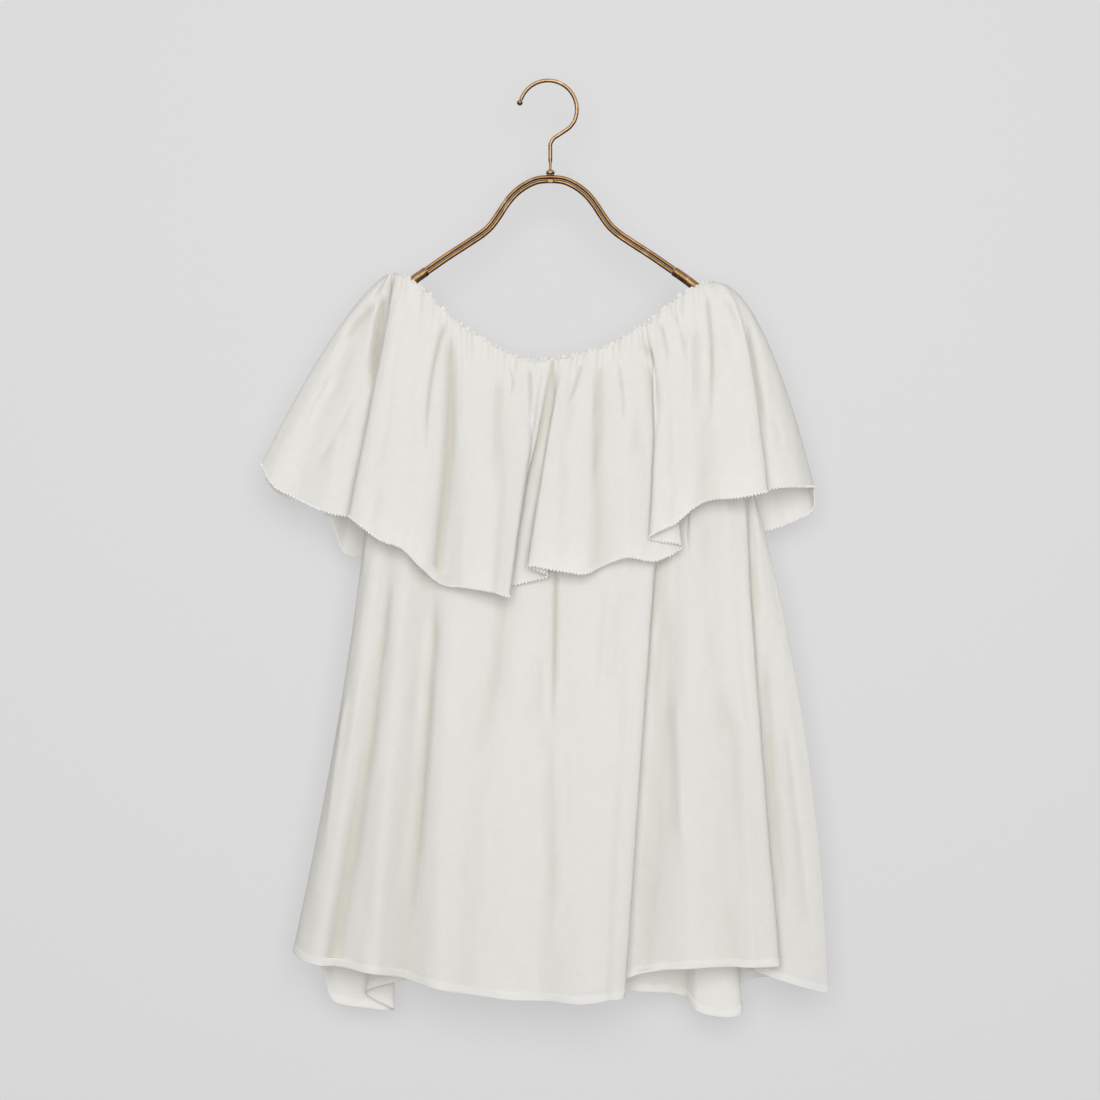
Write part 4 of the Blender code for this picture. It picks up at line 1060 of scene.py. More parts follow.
def worn_metal_group() -> bpy.types.NodeTree:
    """Aged metal: how dark the film is, where it is rubbed bright, and its fine relief.

    Returns:
        The group.
    """
    speck_share, wear_share, brightest = 0.2, 0.5, 0.88
    film_from, film_to = 0.36, 0.66
    group = NodeGroup(
        "worn metal",
        {"Vector": VECTOR, "Patch Scale": 34.0, "Speck Scale": 900.0, "Wear": 0.5},
        {"Film": FLOAT, "Rubbed": FLOAT, "Height": FLOAT},
    )
    make, given = group.make, group.given
    patches = make.noise(given["Vector"], given["Patch Scale"], 4.0, 0.65)
    specks = make.noise(given["Vector"], given["Speck Scale"], 3.0, 0.7)
    both = make.weighted((patches, 1.0), (specks, speck_share))
    start = make.math("SUBTRACT", brightest, make.math("MULTIPLY", given["Wear"], wear_share))
    film = make.ramp(patches, film_from, film_to)
    make.set(group.result, Film=film, Rubbed=make.ramp(both, start, brightest), Height=specks)
    return group.tree


def new_material(name: str) -> tuple[bpy.types.Material, GroupBuilder, bpy.types.Node]:
    """A new material, its builder and its Principled shader.

    Args:
        name: Name of the material.

    Returns:
        The three of them.
    """
    made = bpy.data.materials.new(name)
    made.use_nodes = True
    return made, GroupBuilder(made.node_tree), made.node_tree.nodes["Principled BSDF"]


def blend_into(
    make: GroupBuilder, factor: object, first: bpy.types.Node, second: bpy.types.Node
) -> None:
    """Makes a mix of two shaders the surface of a material."""
    both = make.out("ShaderNodeMixShader", factor, first.outputs[0], second.outputs[0])
    make.set(make.tree.nodes["Material Output"], Surface=both)


@dataclass(frozen=True)
class ClothFinish:
    """Ivory linen-like cloth, thin enough to glow when lit from behind, with painted shade in its
    hollows and creases.
    """

    name: str
    group: bpy.types.NodeTree
    light: Colour = (0.945, 0.939, 0.925)
    dark: Colour = (0.865, 0.856, 0.832)
    band: Colour = (0.95, 0.95, 0.94)
    glow: Colour = (0.93, 0.918, 0.875)
    # Painted crease shade: a darker warm colour that the hollow mask mixes in
    crease: Colour = (0.72, 0.69, 0.605)
    see_through: float = 0.42
    alpha: float = 0.95
    roughness: float = 0.93
    sheen: float = 0.12
    sheen_roughness: float = 0.6
    specular: float = 0.2
    bump_strength: float = 0.35
    bump_depth: float = 0.0004

    def material(self) -> bpy.types.Material:
        """Builds the material on the piece's own UV map.

        Returns:
            The material.
        """
        made, make, shader = new_material(self.name)
        place = make.node("ShaderNodeTexCoord").outputs["UV"]
        weave = make.node("ShaderNodeGroup", node_tree=self.group, Vector=place).outputs
        band, hollow = (
            make.node("ShaderNodeAttribute", attribute_name=name).outputs["Fac"]
            for name in ("band", "hollow")
        )
        cloth = make.mix(weave["Shade"], self.dark, self.light)
        # Painted shade: the colour darkens towards the crease colour in the cloth's hollows
        colour = make.mix(hollow, make.mix(band, cloth, self.band), self.crease)
        bump = make.bump(weave["Height"], self.bump_strength, self.bump_depth)
        make.set(shader, Base_Color=colour, Roughness=self.roughness, Normal=bump)
        make.set(shader, Sheen_Weight=self.sheen, Sheen_Roughness=self.sheen_roughness)
        make.set(shader, Specular_IOR_Level=self.specular, Alpha=self.alpha)
        # The same painted shade tints the light that passes through the cloth
        glow_colour = make.mix(hollow, self.glow, self.crease)
        glow = make.node("ShaderNodeBsdfTranslucent", Color=glow_colour, Normal=bump)
        blend_into(make, self.see_through, shader, glow)
        return made


@dataclass(frozen=True)
class ThreadFinish:
    """Sewing thread of the picot edge and the hem stitches."""

    name: str
    colour: Colour = (0.94, 0.93, 0.905)
    shade: float = 0.94
    twist: float = 700.0
    roughness: float = 0.8
    sheen: float = 0.15

    def material(self) -> bpy.types.Material:
        """Builds the material with a faint twist along the thread.

        Returns:
            The material.
        """
        made, make, shader = new_material(self.name)
        place = make.node("ShaderNodeTexCoord").outputs["Object"]
        twist = make.node("ShaderNodeTexWave", wave_type="BANDS", bands_direction="DIAGONAL")
        make.set(twist, place, self.twist, Distortion=1.0)
        darker = tuple(part * self.shade for part in self.colour)
        colour = make.mix(twist.outputs["Fac"], darker, self.colour)
        make.set(shader, colour, Roughness=self.roughness, Sheen_Weight=self.sheen)
        return made


@dataclass(frozen=True)
class BrassFinish:
    """Antique brass: a brown film over yellow metal, rubbed bright in places."""

    name: str
    group: bpy.types.NodeTree
    metal: Colour = (0.19, 0.106, 0.043)
    film: Colour = (0.09, 0.046, 0.019)
    rubbed: Colour = (0.48, 0.34, 0.19)
    wear: float = 0.5
    patch_scale: float = 34.0
    smooth: float = 0.26
    rough: float = 0.44
    bump_strength: float = 0.02
    bump_depth: float = 0.0002

    def material(self) -> bpy.types.Material:
        """Builds the material on Object coordinates.

        Returns:
            The material.
        """
        made, make, shader = new_material(self.name)
        worn = make.node(
            "ShaderNodeGroup",
            node_tree=self.group,
            Vector=make.node("ShaderNodeTexCoord").outputs["Object"],
            Wear=self.wear,
            Patch_Scale=self.patch_scale,
        ).outputs
        aged = make.mix(worn["Film"], self.metal, self.film)
        colour = make.mix(worn["Rubbed"], aged, self.rubbed)
        rough = make.out(
            "ShaderNodeMapRange", worn["Film"], To_Min=self.smooth, To_Max=self.rough
        )
        bump = make.bump(worn["Height"], self.bump_strength, self.bump_depth)
        make.set(shader, Base_Color=colour, Metallic=1.0, Roughness=rough, Normal=bump)
        return made


def linked(
    name: str, mesh: bpy.types.Mesh, finish: bpy.types.Material | None = None
) -> bpy.types.Object:
    """Puts a mesh into the scene as one piece.

    Args:
        name: Name of the piece.
        mesh: Its mesh.
        finish: Its material, if the mesh has none yet.

    Returns:
        The piece.
    """
    obj = bpy.data.objects.new(name, mesh)
    if finish is not None:
        mesh.materials.append(finish)
    bpy.context.scene.collection.objects.link(obj)
    return obj


def store(mesh: bpy.types.Mesh, label: str, values: np.ndarray) -> None:
    """Stores a value or a vector at each vertex.

    Args:
        mesh: The mesh.
        label: Name to store under.
        values: One row for each vertex.
    """
    kind, key = ("FLOAT", "value") if values.ndim == 1 else ("FLOAT_VECTOR", "vector")
    layer = mesh.attributes.new(label, kind, "POINT")
    layer.data.foreach_set(key, values.astype(np.float32).ravel())


def cloth_piece(
    name: str,
    points: np.ndarray,
    faces: list[list[int]],
    uv: np.ndarray,
    marks: dict[str, np.ndarray],
    finish: bpy.types.Material,
) -> bpy.types.Object:
    """A closed piece of cloth, smooth but for its rims.

    Args:
        name: Name of the piece.
        points: Its vertices in millimetres.
        faces: Its faces, each a ring of vertices that turns outwards.
        uv: Place of each vertex on the flat cloth, in millimetres.
        marks: Values to store at the vertices, by name.
        finish: Material of the cloth.

    Returns:
        The new piece.
    """
    mesh = bpy.data.meshes.new(name)
    mesh.from_pydata((points * MM).tolist(), [], faces)
    corner = np.empty(len(mesh.loops), dtype=np.int32)
    mesh.loops.foreach_get("vertex_index", corner)
    layer = mesh.uv_layers.new(name="cloth")
    layer.data.foreach_set("uv", (uv * MM)[corner].astype(np.float32).ravel())
    for label, values in marks.items():
        store(mesh, label, values)
    mesh.shade_smooth()
    mesh.set_sharp_from_angle(angle=math.radians(RIM_ANGLE))
    return linked(name, mesh, finish)


def shell(
    name: str,
    points: np.ndarray,
    side: int,
    thickness: np.ndarray,
    band: np.ndarray,
    finish: bpy.types.Material,
) -> bpy.types.Object:
    """A thin closed cloth shell over a grid of points.

    Args:
        name: Name of the piece.
        points: Grid of middle-surface points in millimetres.
        side: Way the outer face points along Y.
        thickness: Cloth thickness for each row.
        band: 1 on the rows of the hem band, 0 elsewhere.
        finish: Material of the cloth.

    Returns:
        The new piece, with its UV map in metres of cloth.
    """
    rows, columns = points.shape[:2]
    normals = outward_normals(points, side) * (thickness[:, None, None] / 2)
    vertices = np.vstack([(points + normals).reshape(-1, 3), (points - normals).reshape(-1, 3)])
    behind = rows * columns
    index = np.arange(behind).reshape(rows, columns)
    a, b = index[:-1, :-1].ravel(), index[1:, :-1].ravel()
    c, d = index[1:, 1:].ravel(), index[:-1, 1:].ravel()
    quads = [np.stack([a, b, c, d], axis=1), np.stack([a, d, c, b], axis=1) + behind]
    rims = ((index[0], 1), (index[-1], -1), (index[:, 0], -1), (index[:, -1], 1))
    for line, way in rims:
        first, second = line[:-1], line[1:]
        rim = np.stack([first, second, second + behind, first + behind], axis=1)
        quads.append(rim[:, ::way])
    faces = np.vstack(quads)[:, :: -side]
    across = running_length(points[rows // 2][None])[0]
    down = running_length(points.transpose(1, 0, 2)).T
    uv = np.stack([np.broadcast_to(across, (rows, columns)), down], axis=-1).reshape(-1, 2)
    # Mask of the painted crease shade: the outer face takes the hollows seen from outside, the
    # inner face those seen from inside
    hollow = hollowness(points, side).ravel()
    marks = {
        "band": np.tile(np.repeat(band, columns), 2),
        "hollow": np.clip(np.concatenate([hollow, -hollow]), 0.0, 1.0),
    }
    return cloth_piece(name, vertices, faces.tolist(), np.tile(uv, (2, 1)), marks, finish)


def cloth_area(points: np.ndarray) -> float:
    """Area of a grid's cloth, in square metres.

    Args:
        points: Grid of the panel in millimetres.

    Returns:
        The area.
    """
    across = np.diff(points, axis=1)[:-1]
    down = np.diff(points, axis=0)[:, :-1]
    return float(np.linalg.norm(np.cross(across, down), axis=-1).sum()) * MM * MM


class NodeTool(NodeGroup):
    """A Geometry Nodes tree with named inputs, run once on a guide and then made plain mesh."""

    KIND = "GeometryNodeTree"

    def __init__(self, name: str, **inputs: object) -> None:
        """Starts the tree.

        Args:
            name: Name of the tree.
            inputs: The default for each input name, with underscores for spaces.
        """
        named = {label.replace("_", " "): value for label, value in inputs.items()}
        whole = {"Geometry": GEOMETRY, **named, "Material": "NodeSocketMaterial"}
        super().__init__(name, whole, {"Geometry": GEOMETRY})

    def guide_curve(self) -> bpy.types.NodeSocket:
        """The guide's edges as a curve."""
        return self.make.out("GeometryNodeMeshToCurve", self.given["Geometry"])

    def finish(self, geometry: bpy.types.NodeSocket) -> None:
        """Ends the tree: instances made real, smooth, and given the material.

        Args:
            geometry: What the tree has built.
        """
        make = self.make
        smooth = make.out("GeometryNodeRealizeInstances", geometry)
        smooth = make.out("GeometryNodeSetShadeSmooth", smooth)
        dressed = make.out("GeometryNodeSetMaterial", smooth, Material=self.given["Material"])
        make.set(self.result, dressed)

    def run(self, name: str, guide: bpy.types.Mesh, **values: object) -> bpy.types.Object:
        """Runs the tree on a guide mesh.

        Args:
            name: Name of the piece.
            guide: Mesh that carries the guide's edges and attributes.
            values: The tree's inputs by name, with underscores for spaces.

        Returns:
            A piece of plain mesh.
        """
        obj = linked(name, guide)
        modifier = obj.modifiers.new("build", "NODES")
        modifier.node_group = self.tree
        for item in self.tree.interface.items_tree:
            label = item.name.replace(" ", "_")
            if item.in_out == "INPUT" and label in values:
                modifier[item.identifier] = values[label]
        graph = bpy.context.evaluated_depsgraph_get()
        graph.update()
        plain = bpy.data.meshes.new_from_object(obj.evaluated_get(graph))
        plain.name = name
        obj.modifiers.remove(modifier)
        obj.data = plain
        bpy.data.meshes.remove(guide)
        return obj


def guide_mesh(name: str, points: np.ndarray, **attributes: np.ndarray) -> bpy.types.Mesh:
    """A line of edges through points in millimetres, with a value or vector at each point.

    Args:
        name: Name of the mesh.
        points: The line.
        attributes: What to store at its points, by name.

    Returns:
        The guide.
    """
    mesh = bpy.data.meshes.new(name)
    mesh.from_pydata((points * MM).tolist(), [(k, k + 1) for k in range(len(points) - 1)], [])
    for label, values in attributes.items():
        store(mesh, label, values)
    return mesh


class EdgeTrim(NodeTool):
    """Repeats one small shape along a guide, turned by the guide's own attribute."""

    UNEVEN: tuple[float, float] = (0.86, 1.12)
    SEED: int = 7

    def repeat(self, shape: bpy.types.NodeSocket, facing: str) -> None:
        """Sets the shape along the guide.

        Args:
            shape: Geometry of one shape, long along X and pointing along Z.
            facing: Name of the attribute that Z turns towards.
        """
        make = self.make
        spaced = make.node("GeometryNodeResampleCurve", mode="LENGTH", Curve=self.guide_curve())
        make.set(spaced, Length=self.given["Pitch"])
        way = make.out("GeometryNodeInputNamedAttribute", facing, data_type="FLOAT_VECTOR")
        align = "FunctionNodeAlignRotationToVector"
        upright = make.out(align, axis=Axis.Z.value, Vector=way)
        tangent = make.out("GeometryNodeInputTangent")
        along = make.node(align, axis=Axis.X.value, pivot_axis=Axis.Z.value, Vector=tangent)
        make.set(along, Rotation=upright)
        uneven = make.node("FunctionNodeRandomValue", data_type="FLOAT", Seed=self.SEED)
        for socket, value in zip(uneven.inputs[2:4], self.UNEVEN):
            socket.default_value = value
        copies = make.out(
            "GeometryNodeInstanceOnPoints",
            Points=spaced.outputs[0],
            Instance=shape,
            Rotation=along.outputs[0],
            Scale=uneven.outputs[1],
        )
        self.finish(copies)


def picot_tool() -> EdgeTrim:
    """A row of small thread loops that stand out from an edge.

    Returns:
        The tool, with the loops on its guide.
    """
    start, sweep = math.radians(-25.0), math.radians(230.0)
    tool = EdgeTrim("picot edge", Pitch=0.0034, Loop_Radius=0.00082, Thread_Radius=0.0005)
    make, given = tool.make, tool.given
    arc = make.out(
        "GeometryNodeCurveArc",
        Resolution=7,
        Radius=given["Loop Radius"],
        Start_Angle=start,
        Sweep_Angle=sweep,
    )
    thread = make.out(
        "GeometryNodeCurvePrimitiveCircle", Resolution=5, Radius=given["Thread Radius"]
    )
    loop = make.out("GeometryNodeCurveToMesh", arc, thread, Fill_Caps=True)
    turn, taller = (math.radians(90.0), 0.0, 0.0), (1.0, 1.5, 1.0)
    upright = make.out("GeometryNodeTransform", loop, Rotation=turn, Scale=taller)
    tool.repeat(upright, "hang")
    return tool


def stitch_tool() -> EdgeTrim:
    """A row of short flat stitches that lie on the cloth.

    Returns:
        The tool, with the stitches on its guide.
    """
    tool = EdgeTrim("stitch row", Pitch=0.0031, Size=(0.0011, 0.00022, 0.00016))
    bead = tool.make.out("GeometryNodeMeshUVSphere", Segments=6, Rings=4, Radius=1.0)
    shaped = tool.make.out("GeometryNodeTransform", bead, Scale=tool.given["Size"])
    tool.repeat(shaped, "face")
    return tool


def bar_tool() -> NodeTool:
    """A round bar along a guide whose girth is stored at each point.

    Returns:
        The tool, with the bar round its guide.
    """
    tool = NodeTool("round bar", Sides=24)
    make = tool.make
    girth = make.out("GeometryNodeInputNamedAttribute", "girth", data_type="FLOAT")
    sized = make.out("GeometryNodeSetCurveRadius", tool.guide_curve(), Radius=girth)
    ring = make.out(
        "GeometryNodeCurvePrimitiveCircle", Resolution=tool.given["Sides"], Radius=1.0
    )
    tool.finish(make.out("GeometryNodeCurveToMesh", sized, ring, Scale=girth, Fill_Caps=True))
    return tool


@dataclass
class Finishes:
    """Every material of the piece, built once."""

    cloth: bpy.types.Material = field(init=False)
    thread: bpy.types.Material = field(init=False)
    brass: bpy.types.Material = field(init=False)
    stem_brass: bpy.types.Material = field(init=False)

    def __post_init__(self) -> None:
        """Builds the shared groups and the materials that use them."""
        weave, worn = slub_weave_group(), worn_metal_group()
        self.cloth = ClothFinish("ivory slub cloth", weave).material()
        self.thread = ThreadFinish("ivory thread").material()
        self.brass = BrassFinish("antique brass", worn).material()
        self.stem_brass = BrassFinish(
            "rubbed stem brass",
            worn,
            metal=(0.225, 0.15, 0.08),
            film=(0.12, 0.07, 0.034),
            wear=0.7,
            patch_scale=120.0,
        ).material()


@dataclass
class HangingCloth:
    """One panel of the top, with its trim.

    Args:
        name: Name of the piece.
        node: CAD node that it stands for.
        side: Front or back.
        rows: Large folds.
        relief: Creases and rumpling.
        waves: Gathers along the neck elastic.
        columns: Strips across.
        cut: Flat pattern of the panel; not used.
        trims: Pieces sewn to it.
        piece: The finished shell.
    """

    name: str
    node: str
    side: Side
    rows: Sequence[FoldRow]
    relief: Relief
    waves: Sequence[GatherWaves]
    columns: int
    cut: Cut
    trims: list[bpy.types.Object] = field(default_factory=list)
    piece: bpy.types.Object | None = None

    CLOTH: float = 0.55

    def hung(self, top_x: np.ndarray) -> np.ndarray:
        """1 for the columns that hang from the elastic, by where they start."""
        return np.ones(len(top_x))

    def form(self, top_line: Callable, levels: np.ndarray, hem: float = 0.0) -> np.ndarray:
        """The panel's points with its folds, creases and gathers.

        Args:
            top_line: Gives the panel's upper edge.
            levels: Shares of the drop, one for each row.
            hem: Depth of the hem band.

        Returns:
            The finished grid.
        """
        points, run = Panel(self.side, self.rows, top_line).grid(self.columns, levels, hem)
        points = self.relief.pressed(points)
        normals = outward_normals(points, self.side.value)
        below = running_length(points.transpose(1, 0, 2)).T
        lift = sum(train.lift(run[None, :], below) for train in self.waves)
        lift = lift * self.hung(points[0, :, 0])[None, :]
        points = points + normals * lift[..., None]
        LOG.info("%s: %.4f square metres of cloth", self.name, cloth_area(points))
        return points

    def declare(self, rests_on: Sequence[str], held: str) -> None:
        """Hides the CAD node that the panel replaces, and attaches the panel and its trims to the
        body.

        Args:
            rests_on: CAD nodes that carry it; not used.
            held: How the cloth is held; not used.
        """
        piece = self.piece
        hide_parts(self.node)
        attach(piece, BODY)
        for trim in self.trims:
            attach(trim, BODY)


@dataclass
class Flounce(HangingCloth):
    """Half of the deep flounce, with its picot edge."""

    LEVELS: int = 84
    TOP_CROWD: float = 1.35
    PICOT_DROP: float = 0.1
    PICOT_PITCH: float = 0.0034
    PICOT_RADIUS: float = 0.00082
    THREAD_RADIUS: float = 0.0005

    def build(self, finishes: Finishes, picots: EdgeTrim) -> None:
        """Makes the shell and the thread loops along its edge.

        Args:
            finishes: Every material.
            picots: Tool for the loops.
        """
        levels = np.linspace(0.0, 1.0, self.LEVELS) ** self.TOP_CROWD
        points = self.form(flounce_top, levels)
        thickness, band = np.full(self.LEVELS, self.CLOTH), np.zeros(self.LEVELS)
        self.piece = shell(self.name, points, self.side.value, thickness, band, finishes.cloth)
        hang = unit(points[-1] - points[-2])
        line = points[-1] + hang * self.PICOT_DROP
        trim = picots.run(
            self.name + "_picots",
            guide_mesh(self.name + "_edge", line, hang=hang),
            Pitch=self.PICOT_PITCH,
            Loop_Radius=self.PICOT_RADIUS,
            Thread_Radius=self.THREAD_RADIUS,
            Material=finishes.thread,
        )
        self.trims.append(trim)


@dataclass
class BodyPanel(HangingCloth):
    """A body panel with its armholes and its double-turned hem."""

    LEVELS: int = 96
    LAST_LEVEL: float = 0.996
    HEM: float = 8.0
    HEM_LEVELS: tuple[float, ...] = (1.0, 1.06, 1.14, 1.35, 1.6, 1.82, 1.94, 2.0)
    HEM_START: float = 1.03
    HEM_CLOTH: float = 1.1
    GATHER_END: float = 10.0
    STITCH_PITCH: float = 0.0031
    STITCH_LEVEL: float = 1.1
    STITCH_LIFT: float = 0.53

    def hung(self, top_x: np.ndarray) -> np.ndarray:
        """1 between the armholes, fading out towards each."""
        after_left = smoothstep((top_x - ARMHOLE_LEFT) / self.GATHER_END)
        return after_left * smoothstep((ARMHOLE_RIGHT - top_x) / self.GATHER_END)

    def build(self, finishes: Finishes, stitches: EdgeTrim) -> None:
        """Makes the shell, thicker at the hem, and the stitches along the hem's upper edge.

        Args:
            finishes: Every material.
            stitches: Tool for the stitches.
        """
        levels = np.append(np.linspace(0.0, self.LAST_LEVEL, self.LEVELS), self.HEM_LEVELS)
        points = self.form(body_top, levels, self.HEM)
        band = (levels > self.HEM_START).astype(float)
        thickness = np.where(band > 0, self.HEM_CLOTH, self.CLOTH)
        thickness[-1] = self.CLOTH
        self.piece = shell(self.name, points, self.side.value, thickness, band, finishes.cloth)
        row = int(np.argmax(levels > self.STITCH_LEVEL))
        face = outward_normals(points, self.side.value)[row]
        line = points[row] + face * self.HEM_CLOTH * self.STITCH_LIFT
        trim = stitches.run(
            self.name + "_hem_stitches",
            guide_mesh(self.name + "_stitch_line", line, face=face),
            Pitch=self.STITCH_PITCH,
            Material=finishes.thread,
        )
        self.trims.append(trim)


@dataclass
class NeckCasing:
    """Half of the elastic casing: a puckered band with a small frill along its top."""

    name: str
    node: str
    side: Side
    waves: Sequence[GatherWaves]
    piece: bpy.types.Object | None = None

    COLUMNS: int = 520
    SECTION_STEPS: int = 15
    CREST: float = 2.1
    LEAN: int = 4
    FRILL: Train = (3.9, 0.42, 6.0, 6.0)
    FRILL_SEED: int = 5
    PROFILE: Profile = (
        (-6.5, 1.6),
        (-3.0, 1.6),
        (0.0, 1.55),
        (2.0, 1.4),
        (3.4, 1.15),
        (5.0, 0.85),
        (6.5, 0.4),
    )

    def section(self) -> np.ndarray:
        """Closed outline of the band as (outward, upward) pairs, outer face first.

        Returns:
            Its points, one pair in each row.
        """
        heights, halves = np.array(self.PROFILE).T
        fine = np.linspace(heights[0], heights[-1], self.SECTION_STEPS)
        half = np.interp(fine, heights, halves)
        outer = np.stack([half, fine], axis=1)
        inner = np.stack([-half[::-1], fine[::-1]], axis=1)
        return np.vstack([outer, inner])

    def swept(self, run: np.ndarray, section: np.ndarray) -> np.ndarray:
        """The section swept along the ring with a pucker for each gather.

        Args:
            run: Distances along the ring.
            section: Closed outline of the band.

        Returns:
            Points as (along the ring, round the section, 3).
        """
        ring = NeckRing(self.side)
        middle, out, up = ring.at(run)
        still = 1.0 - over_end(middle[:, 1])
        frill = GatherWaves(ring.length, *self.FRILL, self.FRILL_SEED)
        wave = sum(train.wave(run) for train in (*self.waves, frill)) * still
        lean = np.roll(wave, self.LEAN)
        high = (section[:, 1] - section[:, 1].min()) / CASING_HEIGHT
        blend = (1.0 - high)[None, :] * wave[:, None] + high[None, :] * lean[:, None]
        outward = section[None, :, 0] + blend
        upward = section[None, :, 1] + self.CREST * high[None, :] ** 3 * lean[:, None]
        return middle[:, None] + out[:, None] * outward[..., None] + up[:, None] * upward[..., None]

    def build(self, finishes: Finishes) -> None:
        """Args:
            finishes: Every material.
        """
        section, rings = self.section(), self.COLUMNS + 1
        size = len(section)
        run = np.linspace(0.0, NeckRing(self.side).length, rings)
        points = self.swept(run, section)
        index = np.arange(rings * size).reshape(rings, size)
        following = np.roll(index, -1, axis=1)
        faces = np.stack([index[:-1], following[:-1], following[1:], index[1:]], axis=-1)
        faces = faces.reshape(-1, 4)[:, :: self.side.value]
        caps = [index[0, :: -self.side.value].tolist(), index[-1, :: self.side.value].tolist()]
        around = np.cumsum(np.linalg.norm(np.diff(section, axis=0, prepend=section[:1]), axis=1))
        uv = np.stack([np.repeat(run, size), np.tile(around, rings)], axis=1)
        # Mask of the painted shade between the puckers, on the outer face of the band
        hollow = np.zeros((rings, size))
        outer = slice(size // 2 - 1, None, -1)
        hollow[:, outer] = hollowness(points[:, outer].transpose(1, 0, 2), self.side.value).T
        marks = {"hollow": np.clip(hollow.ravel(), 0.0, 1.0)}
        whole = faces.tolist() + caps
        self.piece = cloth_piece(self.name, points.reshape(-1, 3), whole, uv, marks, finishes.cloth)
        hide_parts(self.node)
        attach(self.piece, BODY)


class HalfPlan(NamedTuple):
    """What one half of the top is made from."""

    side: Side
    seed: int
    flounce: Sequence[FoldRow]
    flounce_creases: Sequence[CreaseRow]
    flounce_columns: int
    flounce_cut: Cut
    body: Sequence[FoldRow]
    body_creases: Sequence[CreaseRow]
    body_cut: Cut


HALVES = (
    HalfPlan(
        side=Side.FRONT,
        seed=11,
        flounce=FLOUNCE_FRONT,
        flounce_creases=FLOUNCE_FRONT_CREASES,
        flounce_columns=480,
        flounce_cut=Cut(0.89, 0.25, 0.14),
        body=BODY_FRONT,
        body_creases=BODY_FRONT_CREASES,
        body_cut=Cut(0.74, 0.66, 0.31),
    ),
    HalfPlan(
        side=Side.BACK,
        seed=23,
        flounce=FLOUNCE_BACK,
        flounce_creases=(),
        flounce_columns=420,
        flounce_cut=Cut(0.76, 0.26, 0.134),
        body=BODY_BACK,
        body_creases=(),
        body_cut=Cut(0.76, 0.68, 0.32),
    ),
)


@dataclass
class OffShoulderTop:
    """The whole top: two casings, two flounce halves and two body panels."""

    finishes: Finishes

    PUCKER: Train = (6.4, 0.72, 15.0, 34.0)
    SWELL: Train = (17.0, 0.6, 34.0, 90.0)
    FLOUNCE_RUMPLE: float = 0.35
    BODY_RUMPLE: float = 0.5
    BODY_COLUMNS: int = 420

    def build(self) -> None:
        """Builds every cloth piece and attaches it to the body."""
        picots, stitches = picot_tool(), stitch_tool()
        for plan in HALVES:
            side, seed, end = plan.side, plan.seed, plan.side.name.lower()
            length = NeckRing(side).length
            waves = [GatherWaves(length, *train, seed) for train in (self.PUCKER, self.SWELL)]
            casing = NeckCasing(f"{end}_casing", f"neck_casing_{end}", side, waves)
            casing.build(self.finishes)
            flounce = Flounce(
                f"{end}_flounce",
                f"flounce_{end}",
                side,
                plan.flounce,
                Relief(side, plan.flounce_creases, seed + 1, self.FLOUNCE_RUMPLE),
                waves,
                plan.flounce_columns,
                plan.flounce_cut,
            )
            flounce.build(self.finishes, picots)
            flounce.trims.append(casing.piece)
            flounce.declare([casing.node], "gathered")
            body = BodyPanel(
                f"{end}_body",
                f"body_{end}",
                side,
                plan.body,
                Relief(side, plan.body_creases, seed + 2, self.BODY_RUMPLE),
                waves,
                self.BODY_COLUMNS,
                plan.body_cut,
            )
            body.build(self.finishes, stitches)
            body.declare([casing.node], "gathered")


HOOK_BEND = (
    (21.2, -45.2),
    (12.0, -51.6),
    (5.6, -56.0),
    (2.5, -61.5),
    (STEM_X, -68.0),
)

ARM = (
    (0.0, 0.0),
    (14.0, -1.4),
    (26.0, -7.0),
    (36.0, -14.8),
    (44.0, -24.3),
    (52.0, -36.4),
    (60.0, -47.2),
    (68.0, -54.4),
    (78.0, -61.2),
    (102.0, -76.8),
    (122.8, -91.2),
)


